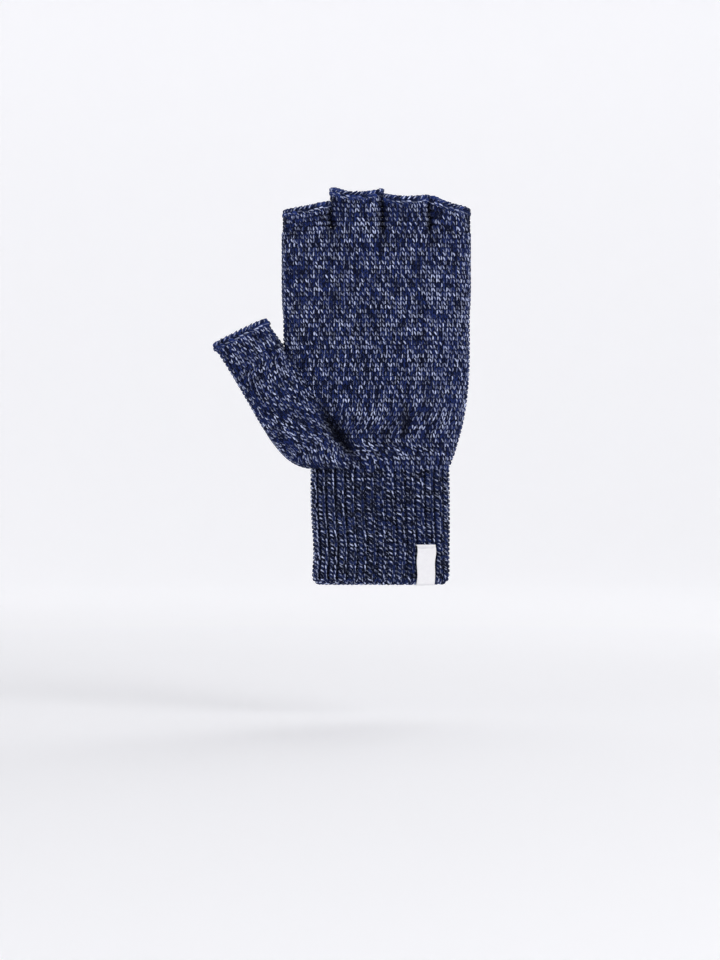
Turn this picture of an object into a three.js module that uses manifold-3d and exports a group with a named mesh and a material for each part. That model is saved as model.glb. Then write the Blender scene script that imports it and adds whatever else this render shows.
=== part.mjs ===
// A knitted fingerless glove with a flip-top mitten cap, in its open state.
// Millimetres. +Z runs from the cuff's hem to the fingers, +X from the thumb to the little
// finger as seen from the palm, +Y from the palm to the back of the hand.
// The origin is the middle of the wrist opening, in the plane of the hem.

import * as THREE from 'three';
import { LoftGeometry } from 'three/addons/geometries/LoftGeometry.js';
import { mergeVertices } from 'three/addons/utils/BufferGeometryUtils.js';
import Module from 'manifold-3d';

// ---------------------------------------------------------------- driving dimensions

const GAP = 0.3;               // clearance between pieces that meet
const WALL = 2.2;              // thickness of the knitted fabric
const SQUARENESS = 2.7;        // 2 is an ellipse, more is a rounder-cornered rectangle
const RING_POINTS = 40;

const CUFF_WIDTH = 73.4;
const CUFF_DEPTH = 25;
const CUFF_LENGTH = 62;
const CAST_ON_HEIGHT = 4;
const CAST_ON_TUCK = 2.4;      // how far the hem's bottom draws in on each side
const RIB_COUNT = 32;
const RIB_RELIEF = 0.9;        // how far the valleys between ribs lie below them
const POINTS_PER_RIB = 4;

const PALM_LENGTH = 128;       // from the top of the cuff to the knuckle line
const PALM_DEPTH = 26.4;
const KNUCKLE_DEPTH = 24.4;
const KNUCKLE_SHIFT = -1.9;    // the knuckles' middle lies this far towards the thumb
const FLARE_SHARE = 0.5;       // share of the palm over which it widens
const FLARE_POWER = 2.4;
const HEEL_STEP = 0.8;         // how far the hand steps out from the cuff below the thumb
const SWELL_SHARE = 0.8;       // share of the palm over which it swells before it thins

const RIM_HEIGHT = 4.2;
const RIM_FLARE = 0.5;
const STUB_TOP_DEPTH = 21;

// Each finger's width, the height of its opening over the knuckle line at its left and
// right ends, and how far the opening dips between them.
const FINGERS = [
	{ name: 'index', width: 25.2, left: 10.4, right: 15.2, dip: 0.6 },
	{ name: 'middle', width: 27.4, left: 22.2, right: 21.7, dip: 2.4 },
	{ name: 'ring', width: 25, left: 19, right: 18.6, dip: 1.6 },
	{ name: 'little', width: 21.2, left: 17.8, right: 11.2, dip: 0.8 },
];

const CROTCH_HEIGHT = 66;      // of the thumb, over the top of the cuff
const THUMB_BASE_DEPTH = 25;
const THUMB_TIP_DEPTH = 20;
const THUMB_WIDTH = 31;        // at its opening
const THUMB_LEAN = 25.8;       // degrees, of its opening's axis from vertical
const THUMB_INNER_LENGTH = 17.1;
const THUMB_INNER_LEAN = 35;   // degrees, of the edge between crotch and opening
const GUSSET_LEAN = 32;        // degrees, of the gusset's seam from vertical
const HEEL_BULGE = 20;         // how far the thumb's heel swells past the cuff's corner
const HEEL_RISE = 2.2;         // how much it rises over that
const THUMB_OUTER_REACH = 48.4; // the outer side's pull, down from the opening
const THUMB_OUTER_DRAW = { x: 5, z: 4 };   // and in towards the hand

const LABEL_WIDTH = 10;
const LABEL_DROP = 21;
const LABEL_INNER_DROP = 12;   // how far it reaches up inside the cuff
const LABEL_THICKNESS = 0.6;
const LABEL_PLACE = 0.66;      // share of the cuff's half width
const LABEL_CLEARANCE = 0.4;
const LABEL_TURN = 13;         // degrees, to follow the cuff's round
const TACK_INSET = 1.6;        // from the label's top to its row of stitches
const TACK_SIDE_INSET = 0.7;
const TACK_THICKNESS = 0.4;
const TACK_HEIGHT = 0.6;

const CAP_LENGTH = 95;
const CAP_MARGIN = 1.4;        // how much wider it is than the finger stubs, on each side
const CAP_POCKET = 5.6;        // space between its panels while it is folded back
const CAP_STRAIGHT = 30;       // from the hinge to where its sides start to round in
const CAP_TIP_POWER = 2.4;
const CAP_TIP_HALF_WIDTH = 6;  // where its round end closes
const CAP_TIP_THINNING = 0.7;
const CAP_OVERRUN = 6;         // its tube runs this far above the hinge before the mouth is cut
const CAP_LIFT = 3.2;          // from the back of the knuckles to the hinge line
const HINGE_RISE = 2;          // from the knuckle line up to the hinge line
const HINGE_BEAD_RADIUS = 0.9;
const HINGE_RADIUS = 1.4;      // from the hinge line to the cap's edge
const SEAM_END_INSET = 9;      // from the cap's sides to the ends of its seam
const SEAM_FOOT = 0.5;         // half the height of the foot that joins it to the knuckles
const MOUTH_DROP_MIDDLE = 4.5; // the front panel's edge below the hinge line, at the middle
const MOUTH_RISE_SIDES = 6;    // how much higher it runs at the sides
const MOUTH_ARCH_POWER = 2.6;
const MOUTH_BAND = 10;
const MOUTH_STEPS = 24;

const BUTTON_DIAMETER = 15;
const BUTTON_THICKNESS = 3;
const BUTTON_BEVEL = 0.6;
const BUTTON_HOLE_RADIUS = 1;
const BUTTON_HOLE_PITCH = 4;
const BUTTON_BELOW_TIP = 11.5;
const THREAD_RADIUS = 0.6;
const SHANK_SHARE = 0.75;      // the thread shank's radius as a share of the holes' pitch
const LOOP_CORD = 2;
const LOOP_CLEARANCE = 0.8;
const LOOP_LEG_SPACING = 8;
const LOOP_LEG_LENGTH = 1.4;
const LOOP_BOW = { from: 160, to: 380, step: 20 };   // degrees round the button

// ------------------------------------------------------------------- derived places

const CUFF_TOP = CUFF_LENGTH;
const KNUCKLE = CUFF_LENGTH + PALM_LENGTH;
const fingerSum = FINGERS.reduce((sum, finger) => sum + finger.width, 0);
const KNUCKLE_WIDTH = fingerSum + GAP * (FINGERS.length - 1);
const HINGE = { y: KNUCKLE_DEPTH / 2 + CAP_LIFT, z: KNUCKLE + HINGE_RISE };
const CAP_HALF_WIDTH = KNUCKLE_WIDTH / 2 + CAP_MARGIN;
const CAP_TIP = HINGE.z - CAP_LENGTH;
const CAP_MIDDLE_Y = HINGE.y + WALL / 2 + CAP_POCKET / 2;
const CAP_HALF_DEPTH = CAP_POCKET / 2 + WALL;
const BUTTON_Z = CAP_TIP - BUTTON_BELOW_TIP;
const CUT_REACH = 400;         // a block that cuts a piece reaches this far past it

// ---------------------------------------------------------------------- solid tools

const wasm = await Module();
wasm.setup();

const radians = THREE.MathUtils.degToRad;
const lerp = THREE.MathUtils.lerp;
const vector = (x, y, z) => new THREE.Vector3(x, y, z);

function solidFrom(shape) {
	const geometry = new THREE.BufferGeometry().copy(shape);
	geometry.deleteAttribute('normal');
	geometry.deleteAttribute('uv');
	const merged = mergeVertices(geometry, 1e-4);
	return new wasm.Manifold(new wasm.Mesh({
		numProp: 3,
		vertProperties: new Float32Array(merged.attributes.position.array),
		triVerts: new Uint32Array(merged.index.array),
	}));
}

function geometryFrom(solid) {
	const mesh = solid.getMesh();
	const geometry = new THREE.BufferGeometry();
	geometry.setAttribute('position', new THREE.BufferAttribute(mesh.vertProperties, 3));
	geometry.setIndex(new THREE.BufferAttribute(mesh.triVerts, 1));
	geometry.computeVertexNormals();
	return geometry;
}

const loft = (sections) => solidFrom(new LoftGeometry(sections, { capStart: true, capEnd: true }));

// A tube's wall: up its outer rings, over its top edge, down its inner rings and back.
const tubeWall = (outer, inner) =>
	solidFrom(new LoftGeometry([...outer, ...inner.reverse(), outer[0]]));

// A flattened ring round `center`: `along` is its wide direction, +Y its deep one.
function ring(center, along, halfWidth, halfDepth, points = RING_POINTS, relief = () => 0) {
	const bend = (value) => Math.sign(value) * Math.abs(value) ** (2 / SQUARENESS);
	return Array.from({ length: points }, (_, i) => {
		const angle = (i / points) * Math.PI * 2;
		const wide = bend(Math.cos(angle));
		const deep = bend(Math.sin(angle));
		const swell = 1 + relief(i) / Math.hypot(wide * halfWidth, deep * halfDepth);
		return center.clone()
			.addScaledVector(along, wide * halfWidth * swell)
			.add(vector(0, deep * halfDepth * swell, 0));
	});
}

const RIGHT = vector(1, 0, 0);
const levelRing = (x, z, halfWidth, halfDepth, ...rest) =>
	ring(vector(x, 0, z), RIGHT, halfWidth, halfDepth, ...rest);

function box(low, high) {
	const size = high.clone().sub(low);
	const geometry = new THREE.BoxGeometry(size.x, size.y, size.z);
	const middle = low.clone().add(high).multiplyScalar(0.5);
	return solidFrom(geometry.translate(middle.x, middle.y, middle.z));
}

function part(name, solid, color, roughness = 0.95, metalness = 0) {
	const material = new THREE.MeshStandardMaterial({ color, roughness, metalness });
	const mesh = new THREE.Mesh(geometryFrom(solid), material);
	mesh.name = name;
	return mesh;
}

const NAVY = 0x3d4766;
const DEEP_NAVY = 0x333c5a;
const RIM_NAVY = 0x4a5678;
const LABEL_WHITE = 0xe6e5e2;
const HORN_BROWN = 0x3a2c25;

// ----------------------------------------------------------------------------- cuff

// A wall's outer ring at depth 0 and its inner ring at depth WALL.
function cuffRing(z, inset, points, relief) {
	const tuck = CAST_ON_TUCK * Math.max(0, 1 - z / CAST_ON_HEIGHT) ** 2;
	return levelRing(0, z, CUFF_WIDTH / 2 - tuck - inset, CUFF_DEPTH / 2 - tuck / 2 - inset,
		points, relief);
}

function ribCuff() {
	const valley = [RIB_RELIEF, RIB_RELIEF * 0.5, 0, RIB_RELIEF * 0.5];
	const relief = (i) => -valley[i % POINTS_PER_RIB];
	const points = RIB_COUNT * POINTS_PER_RIB;
	const low = CAST_ON_HEIGHT + GAP;
	const outer = [low, lerp(low, CUFF_TOP, 0.5), CUFF_TOP - GAP]
		.map((z) => cuffRing(z, 0, points, relief));
	const inner = [low, CUFF_TOP - GAP].map((z) => cuffRing(z, WALL, points));
	return tubeWall(outer, inner);
}

function castOnEdge() {
	const heights = [0, CAST_ON_HEIGHT * 0.25, CAST_ON_HEIGHT * 0.6, CAST_ON_HEIGHT];
	return tubeWall(heights.map((z) => cuffRing(z, 0)), heights.map((z) => cuffRing(z, WALL)));
}

// ------------------------------------------------------------------- hand and thumb

const palmShare = (z) => (z - CUFF_TOP) / PALM_LENGTH;

function palmEdges(z) {
	const rest = Math.max(0, 1 - Math.max(0, palmShare(z)) / FLARE_SHARE);
	const flare = 1 - rest ** FLARE_POWER;
	return {
		left: lerp(-CUFF_WIDTH / 2 - HEEL_STEP, KNUCKLE_SHIFT - KNUCKLE_WIDTH / 2, flare),
		right: lerp(CUFF_WIDTH / 2, KNUCKLE_SHIFT + KNUCKLE_WIDTH / 2, flare),
	};
}

function palmDepth(z) {
	const share = THREE.MathUtils.clamp(palmShare(z), 0, 1);
	const swell = Math.sin(Math.PI * Math.min(1, share / SWELL_SHARE)) * (PALM_DEPTH - KNUCKLE_DEPTH);
	return lerp(CUFF_DEPTH, KNUCKLE_DEPTH, share) + swell;
}

function palmRing(z, inset) {
	const { left, right } = palmEdges(z);
	const halfWidth = (right - left) / 2 - inset;
	return levelRing((left + right) / 2, z, halfWidth, palmDepth(z) / 2 - inset);
}

function palmSolid(inset, overrun) {
	const shares = [0, 0.06, 0.13, 0.22, 0.34, 0.5, 0.75, 1];
	const rings = shares.map((share) => palmRing(lerp(CUFF_TOP, KNUCKLE - GAP, share), inset));
	rings[0].forEach((point) => { point.z -= overrun; });
	rings[rings.length - 1].forEach((point) => { point.z += overrun; });
	return loft(rings);
}

const CROTCH_Z = CUFF_TOP + CROTCH_HEIGHT;
const CROTCH = vector(palmEdges(CROTCH_Z).left, 0, CROTCH_Z);
const leaning = (degrees) => vector(-Math.sin(radians(degrees)), 0, Math.cos(radians(degrees)));
const THUMB_AXIS = leaning(THUMB_LEAN);
const THUMB_ACROSS = vector(THUMB_AXIS.z, 0, -THUMB_AXIS.x);
const THUMB_TIP_RIGHT = CROTCH.clone()
	.addScaledVector(leaning(THUMB_INNER_LEAN), THUMB_INNER_LENGTH);
const THUMB_TIP_LEFT = THUMB_TIP_RIGHT.clone().addScaledVector(THUMB_ACROSS, -THUMB_WIDTH);

// The thumb's outer side leaves the cuff's corner almost level, rounds the heel and rises.
function thumbOuterSide() {
	const corner = vector(palmEdges(CUFF_TOP).left, 0, CUFF_TOP);
	const heel = corner.clone().add(vector(-HEEL_BULGE, 0, HEEL_RISE));
	const pull = THUMB_TIP_LEFT.clone()
		.addScaledVector(THUMB_AXIS, -THUMB_OUTER_REACH)
		.add(vector(THUMB_OUTER_DRAW.x, 0, THUMB_OUTER_DRAW.z));
	return new THREE.CubicBezierCurve3(corner, heel, pull, THUMB_TIP_LEFT);
}

function thumbInnerSide() {
	const base = CROTCH.clone().addScaledVector(leaning(GUSSET_LEAN), -CROTCH_HEIGHT);
	return new THREE.CatmullRomCurve3([base, CROTCH, THUMB_TIP_RIGHT], false, 'chordal');
}

function thumbRing(share, inset) {
	const left = thumbOuterSide().getPoint(share);
	const right = thumbInnerSide().getPoint(share);
	const across = right.clone().sub(left);
	const middle = left.clone().add(right).multiplyScalar(0.5);
	const halfDepth = lerp(THUMB_BASE_DEPTH, THUMB_TIP_DEPTH, share) / 2;
	const halfWidth = across.length() / 2 - inset;
	return ring(middle, across.normalize(), halfWidth, halfDepth - inset);
}

function thumbSolid(inset, overrun) {
	const steps = 7;
	const rings = Array.from({ length: steps + 1 }, (_, i) => thumbRing(i / steps, inset));
	const move = THUMB_AXIS.clone().multiplyScalar(overrun - (RIM_HEIGHT + GAP));
	rings[rings.length - 1].forEach((point) => point.add(move));
	return loft(rings);
}

// Everything on the thumb's side of the gusset's seam, which leans from the crotch.
function thumbSide(margin) {
	const block = new THREE.BoxGeometry(CUT_REACH, CUT_REACH, CUT_REACH);
	block.translate(-CUT_REACH / 2 + margin, 0, 0);
	block.rotateY(-radians(GUSSET_LEAN));
	block.translate(CROTCH.x, 0, CROTCH.z);
	return solidFrom(block);
}

function glovePanels() {
	const fabric = palmSolid(0, 0).add(thumbSolid(0, 0))
		.subtract(palmSolid(WALL, 1).add(thumbSolid(WALL, 1)))
		.subtract(box(vector(-CUT_REACH, -CUT_REACH, 0), vector(CUT_REACH, CUT_REACH, CUFF_TOP)));
	return {
		hand: fabric.subtract(thumbSide(GAP)),
		thumb: fabric.intersect(thumbSide(0)),
	};
}

function thumbRim() {
	const middle = THUMB_TIP_LEFT.clone().add(THUMB_TIP_RIGHT).multiplyScalar(0.5);
	const raise = (height, grow) => ring(
		middle.clone().addScaledVector(THUMB_AXIS, height - RIM_HEIGHT),
		THUMB_ACROSS, THUMB_WIDTH / 2 + grow, THUMB_TIP_DEPTH / 2 + grow);
	return rolledRim(raise);
}

// ----------------------------------------------------------------- fingers and rims

// A rolled edge: `raise(height, grow)` gives its ring at a height and an outward offset.
function rolledRim(raise) {
	const outer = [0, 0.3, 0.75, 1].map((share) =>
		raise(share * RIM_HEIGHT, RIM_FLARE * Math.sin(Math.PI * (0.2 + 0.6 * share))));
	return tubeWall(outer, [raise(0, -WALL), raise(RIM_HEIGHT, -WALL)]);
}

function placeFingers() {
	let left = KNUCKLE_SHIFT - KNUCKLE_WIDTH / 2;
	return FINGERS.map((finger) => {
		const placed = { ...finger, middle: left + finger.width / 2 };
		left += finger.width + GAP;
		return placed;
	});
}

function openingHeight(finger, x) {
	const across = (x - finger.middle) / (finger.width / 2);
	const slope = lerp(finger.left, finger.right, (across + 1) / 2);
	return KNUCKLE + slope - finger.dip * (1 - across ** 2);
}

function fingerRing(finger, share, grow) {
	const halfDepth = lerp(KNUCKLE_DEPTH, STUB_TOP_DEPTH, Math.min(1, share)) / 2;
	const points = levelRing(finger.middle, 0, finger.width / 2 + grow, halfDepth + grow);
	const low = KNUCKLE + GAP;
	points.forEach((point) => {
		const top = openingHeight(finger, point.x) - RIM_HEIGHT - GAP;
		point.z = lerp(low, top, share);
	});
	return points;
}

function fingerStub(finger) {
	const outer = [0, 0.5, 1].map((share) => fingerRing(finger, share, 0));
	const inner = [0, 0.5, 1].map((share) => fingerRing(finger, share, -WALL));
	return tubeWall(outer, inner);
}

function fingerRim(finger) {
	const side = Math.min(RIM_FLARE, GAP / 3);
	const raise = (height, grow) => {
		const points = levelRing(finger.middle, 0, finger.width / 2 + Math.min(grow, side),
			STUB_TOP_DEPTH / 2 + grow);
		points.forEach((point) => {
			point.z = openingHeight(finger, point.x) - RIM_HEIGHT + height;
		});
		return points;
	};
	return rolledRim(raise);
}

// ---------------------------------------------------------------------------- label

const LABEL_X = LABEL_PLACE * CUFF_WIDTH / 2;

// The cuff's front surface at a place across it, without its ribs.
function cuffFront(x) {
	const across = Math.abs(x) / (CUFF_WIDTH / 2);
	return -(CUFF_DEPTH / 2) * (1 - across ** SQUARENESS) ** (1 / SQUARENESS);
}

function placeOnCuff(geometry) {
	geometry.rotateZ(radians(LABEL_TURN));
	geometry.translate(LABEL_X, cuffFront(LABEL_X), 0);
	return solidFrom(geometry);
}

// A strip folded round the hem, drawn from the side: a long U that is open at its top.
function wovenLabel() {
	const roundSpan = LABEL_WIDTH * Math.sin(radians(LABEL_TURN)) / 2;
	const front = LABEL_CLEARANCE + LABEL_THICKNESS + roundSpan / 2;
	const back = WALL + LABEL_CLEARANCE + roundSpan + CAST_ON_TUCK;
	const fold = LABEL_CLEARANCE;
	const outline = new THREE.Shape([
		[-front, LABEL_DROP], [-front, -fold],
		[-front + LABEL_THICKNESS, -fold - LABEL_THICKNESS],
		[back, -fold - LABEL_THICKNESS], [back + LABEL_THICKNESS, -fold],
		[back + LABEL_THICKNESS, LABEL_INNER_DROP], [back, LABEL_INNER_DROP], [back, -fold],
		[-front + LABEL_THICKNESS, -fold], [-front + LABEL_THICKNESS, LABEL_DROP],
	].map(([y, z]) => new THREE.Vector2(y, z)));
	const strip = { depth: LABEL_WIDTH, bevelEnabled: false };
	const geometry = new THREE.ExtrudeGeometry(outline, strip);
	geometry.translate(0, 0, -LABEL_WIDTH / 2);
	geometry.rotateX(Math.PI / 2);
	geometry.rotateZ(Math.PI / 2);
	return { solid: placeOnCuff(geometry), front };
}

function labelTack(front) {
	const low = LABEL_DROP - TACK_INSET;
	const width = LABEL_WIDTH - 2 * TACK_SIDE_INSET;
	const tack = new THREE.BoxGeometry(width, TACK_THICKNESS, TACK_HEIGHT);
	tack.translate(0, -front - GAP / 3 - TACK_THICKNESS / 2, low);
	return placeOnCuff(tack);
}

// ------------------------------------------------------------------------------ cap

// How wide the cap is at a distance down from the hinge line, as a share of its full width.
function capWidthShare(down, length) {
	const past = Math.max(0, down - CAP_STRAIGHT) / (length - CAP_STRAIGHT);
	return Math.max(0, 1 - past ** CAP_TIP_POWER) ** (1 / CAP_TIP_POWER);
}

function capSolid(inset) {
	const length = CAP_LENGTH - inset;
	const roundingSteps = 9;
	const stations = [inset - CAP_OVERRUN, CAP_STRAIGHT];
	for (let i = 1; i <= roundingSteps; i += 1) {
		const turn = (i / roundingSteps) * Math.PI / 2;
		stations.push(lerp(CAP_STRAIGHT, length, Math.sin(turn)));
	}
	const rings = stations.map((down, i) => {
		const full = (CAP_HALF_WIDTH - inset) * capWidthShare(down, length);
		const thinning = i === stations.length - 1 ? CAP_TIP_THINNING : 1;
		const center = vector(KNUCKLE_SHIFT, CAP_MIDDLE_Y, HINGE.z - down);
		const halfWidth = Math.max(CAP_TIP_HALF_WIDTH, full);
		return ring(center, RIGHT, halfWidth, (CAP_HALF_DEPTH - inset) * thinning).reverse();
	});
	return loft(rings);
}

// How far below the hinge line the front panel's edge runs, at a place across the cap.
function mouthDrop(x) {
	const across = Math.min(1, Math.abs(x - KNUCKLE_SHIFT) / CAP_HALF_WIDTH);
	return MOUTH_DROP_MIDDLE - MOUTH_RISE_SIDES * across ** MOUTH_ARCH_POWER;
}

// Everything below the mouth's arched edge, lowered by `lower`.
function belowMouth(lower) {
	const reach = CAP_HALF_WIDTH + MOUTH_BAND;
	const edge = Array.from({ length: MOUTH_STEPS + 1 }, (_, i) => {
		const x = lerp(-reach, reach, i / MOUTH_STEPS);
		return new THREE.Vector2(x, HINGE.z - lower - mouthDrop(x));
	});
	edge.push(new THREE.Vector2(reach, 0), new THREE.Vector2(-reach, 0));
	const block = { depth: CUT_REACH, bevelEnabled: false };
	const geometry = new THREE.ExtrudeGeometry(new THREE.Shape(edge), block);
	geometry.rotateX(Math.PI / 2);
	return solidFrom(geometry.translate(0, CUT_REACH, 0));
}

function capPanels() {
	const far = vector(CUT_REACH, CUT_REACH, CUT_REACH);
	const farBack = far.clone().negate();
	const shell = capSolid(0).subtract(capSolid(WALL));
	const nearGlove = box(farBack, far.clone().setY(CAP_MIDDLE_Y - GAP / 2));
	const awayFromGlove = box(farBack.clone().setY(CAP_MIDDLE_Y + GAP / 2), far);
	const belowHinge = box(farBack, far.clone().setZ(HINGE.z - HINGE_RADIUS));
	const front = shell.intersect(awayFromGlove);
	return {
		back: shell.intersect(nearGlove).intersect(belowHinge),
		band: front.intersect(belowMouth(0)).subtract(belowMouth(MOUTH_BAND)),
		front: front.intersect(belowMouth(MOUTH_BAND + GAP)),
	};
}

// The seam's bead lies on the hinge line and is stitched down to the knuckles.
function capSeam() {
	const half = CAP_HALF_WIDTH - SEAM_END_INSET;
	const bead = new THREE.CylinderGeometry(HINGE_BEAD_RADIUS, HINGE_BEAD_RADIUS, 2 * half, 10);
	bead.rotateZ(Math.PI / 2);
	bead.translate(KNUCKLE_SHIFT, HINGE.y, HINGE.z);
	const foot = box(
		vector(KNUCKLE_SHIFT - half, KNUCKLE_DEPTH / 2 + GAP, HINGE.z - SEAM_FOOT),
		vector(KNUCKLE_SHIFT + half, HINGE.y, HINGE.z + SEAM_FOOT));
	return solidFrom(bead).add(foot);
}

// ------------------------------------------------------------------ button and loop

const BUTTON_FACE_Y = CAP_MIDDLE_Y + LOOP_CORD / 2;
const BUTTON_BACK_Y = BUTTON_FACE_Y - BUTTON_THICKNESS;

function upright(radius, from, to, x, z, sides = 32) {
	const geometry = new THREE.CylinderGeometry(radius, radius, to - from, sides);
	return solidFrom(geometry.translate(x, (from + to) / 2, z));
}

const buttonHoles = () => [-1, 1].flatMap((x) => [-1, 1].map((z) => ({
	x: KNUCKLE_SHIFT + x * BUTTON_HOLE_PITCH / 2,
	z: BUTTON_Z + z * BUTTON_HOLE_PITCH / 2,
})));

function capButton() {
	const radius = BUTTON_DIAMETER / 2;
	const bevel = BUTTON_BEVEL;
	const profile = [
		[0, BUTTON_BACK_Y], [radius - bevel, BUTTON_BACK_Y], [radius, BUTTON_BACK_Y + bevel],
		[radius, BUTTON_FACE_Y - bevel], [radius - bevel, BUTTON_FACE_Y],
		[radius - 2 * bevel, BUTTON_FACE_Y], [radius - 4 * bevel, BUTTON_FACE_Y - bevel],
		[0, BUTTON_FACE_Y - bevel],
	].map(([r, y]) => new THREE.Vector2(r, y));
	const disc = new THREE.LatheGeometry(profile, 40);
	let solid = solidFrom(disc.translate(KNUCKLE_SHIFT, 0, BUTTON_Z));
	buttonHoles().forEach(({ x, z }) => {
		solid = solid.subtract(upright(BUTTON_HOLE_RADIUS, 0, CUT_REACH, x, z, 12));
	});
	return solid;
}

function buttonThread() {
	const skin = palmDepth(BUTTON_Z) / 2 + GAP;
	const faceY = BUTTON_FACE_Y - BUTTON_BEVEL + GAP;
	const shank = BUTTON_HOLE_PITCH * SHANK_SHARE;
	let solid = upright(shank, skin, BUTTON_BACK_Y - GAP, KNUCKLE_SHIFT, BUTTON_Z, 16);
	buttonHoles().forEach(({ x, z }) => {
		solid = solid.add(upright(THREAD_RADIUS, skin, faceY + THREAD_RADIUS, x, z, 8));
	});
	const halfBar = BUTTON_HOLE_PITCH / 2 + THREAD_RADIUS;
	[-1, 1].forEach((side) => {
		const z = BUTTON_Z + side * BUTTON_HOLE_PITCH / 2;
		solid = solid.add(box(
			vector(KNUCKLE_SHIFT - halfBar, faceY, z - THREAD_RADIUS),
			vector(KNUCKLE_SHIFT + halfBar, faceY + 2 * THREAD_RADIUS, z + THREAD_RADIUS)));
	});
	return solid;
}

function capLoop() {
	const radius = BUTTON_DIAMETER / 2 + LOOP_CLEARANCE + LOOP_CORD / 2;
	const leg = (side, below) =>
		vector(KNUCKLE_SHIFT + side * LOOP_LEG_SPACING / 2, CAP_MIDDLE_Y, CAP_TIP - GAP - below);
	const points = [leg(-1, 0), leg(-1, LOOP_LEG_LENGTH)];
	for (let degrees = LOOP_BOW.from; degrees <= LOOP_BOW.to; degrees += LOOP_BOW.step) {
		const turn = radians(degrees);
		points.push(vector(
			KNUCKLE_SHIFT + Math.cos(turn) * radius, CAP_MIDDLE_Y, BUTTON_Z + Math.sin(turn) * radius));
	}
	points.push(leg(1, LOOP_LEG_LENGTH), leg(1, 0));
	const section = new THREE.Shape();
	section.absarc(0, 0, LOOP_CORD / 2, 0, Math.PI * 2);
	const path = new THREE.CatmullRomCurve3(points);
	return solidFrom(new THREE.ExtrudeGeometry(section,
		{ steps: 30, extrudePath: path, curveSegments: 4 }));
}

// ------------------------------------------------------------------------- assembly

const glove = new THREE.Group();
const { hand, thumb } = glovePanels();
glove.add(part('rib_cuff', ribCuff(), DEEP_NAVY));
glove.add(part('cast_on_edge', castOnEdge(), RIM_NAVY));
glove.add(part('hand_tube', hand, NAVY));
glove.add(part('thumb_tube', thumb, NAVY));
glove.add(part('thumb_rim', thumbRim(), RIM_NAVY));
placeFingers().forEach((finger) => {
	glove.add(part(`${finger.name}_stub`, fingerStub(finger), NAVY));
	glove.add(part(`${finger.name}_rim`, fingerRim(finger), RIM_NAVY));
});

const label = wovenLabel();
glove.add(part('woven_label', label.solid, LABEL_WHITE, 0.8));
glove.add(part('label_tack', labelTack(label.front), LABEL_WHITE, 0.8));
glove.add(part('cap_seam', capSeam(), RIM_NAVY));
glove.add(part('cap_button', capButton(), HORN_BROWN, 0.45));
glove.add(part('button_thread', buttonThread(), NAVY));

const cap = new THREE.Group();
const panels = capPanels();
cap.add(part('cap_back_panel', panels.back, NAVY));
cap.add(part('cap_loop', capLoop(), RIM_NAVY));
glove.add(cap);

const capFront = new THREE.Group();
capFront.add(part('cap_front_panel', panels.front, NAVY));
capFront.add(part('cap_mouth_band', panels.band, DEEP_NAVY));
cap.add(capFront);

export default glove;
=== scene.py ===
"""Looks of a knitted flip-top mitten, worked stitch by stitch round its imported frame.

Lengths are metres. +Z runs from the hem to the fingers, -Y is the palm's side. The glove is
shown open: its cap hangs folded back behind the knuckles.
"""

from __future__ import annotations

import logging
import math
from collections.abc import Callable
from dataclasses import dataclass, field
from enum import Enum

import bmesh
import bpy
import numpy as np
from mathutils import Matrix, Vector


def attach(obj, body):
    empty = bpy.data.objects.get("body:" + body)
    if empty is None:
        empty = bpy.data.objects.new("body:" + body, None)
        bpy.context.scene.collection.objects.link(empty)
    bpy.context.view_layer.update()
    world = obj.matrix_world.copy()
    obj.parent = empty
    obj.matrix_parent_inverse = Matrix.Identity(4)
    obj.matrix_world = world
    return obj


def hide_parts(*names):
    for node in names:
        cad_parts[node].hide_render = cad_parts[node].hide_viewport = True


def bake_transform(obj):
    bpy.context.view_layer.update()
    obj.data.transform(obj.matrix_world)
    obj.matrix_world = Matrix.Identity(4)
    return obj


LOG = logging.getLogger("mitten")
MM = 0.001
Array = np.ndarray
Face = tuple[int, ...]
Tree = bpy.types.NodeTree
Socket = bpy.types.NodeSocket

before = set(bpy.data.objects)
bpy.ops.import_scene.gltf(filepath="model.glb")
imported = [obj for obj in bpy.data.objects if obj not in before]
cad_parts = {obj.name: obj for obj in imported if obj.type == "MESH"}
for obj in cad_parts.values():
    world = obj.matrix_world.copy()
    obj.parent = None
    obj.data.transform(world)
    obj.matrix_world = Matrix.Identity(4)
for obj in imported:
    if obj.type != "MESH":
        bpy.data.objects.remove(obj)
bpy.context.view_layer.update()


# --------------------------------------------------------------------------- node tools


def shader_tree(name: str) -> tuple[bpy.types.Material, Tree, bpy.types.Node]:
    """Makes a material with an empty Principled surface.

    Args:
        name: The material's name.

    Returns:
        The material, its node tree and its Principled node.
    """
    material = bpy.data.materials.new(name)
    material.use_nodes = True
    tree = material.node_tree
    tree.nodes.clear()
    surface = tree.nodes.new("ShaderNodeBsdfPrincipled")
    output = tree.nodes.new("ShaderNodeOutputMaterial")
    tree.links.new(surface.outputs["BSDF"], output.inputs["Surface"])
    return material, tree, surface


def feed(tree: Tree, socket: Socket, value: object) -> None:
    """Links a socket to another one, or sets its own value.

    Args:
        tree: The tree that holds both.
        socket: The input to feed.
        value: An output socket, a number, a vector or a colour.
    """
    if isinstance(value, Socket):
        tree.links.new(value, socket)
    elif value is not None:
        socket.default_value = value


def maths(tree: Tree, kind: str, *values: object, clamp: bool = False) -> Socket:
    """Adds a Math node.

    Args:
        tree: The tree to add it to.
        kind: The operation, such as "ADD".
        *values: Its inputs, in order.
        clamp: Whether the result is held between 0 and 1.

    Returns:
        Its output.
    """
    node = tree.nodes.new("ShaderNodeMath")
    node.operation = kind
    node.use_clamp = clamp
    for socket, value in zip(node.inputs, values):
        feed(tree, socket, value)
    return node.outputs[0]


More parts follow.
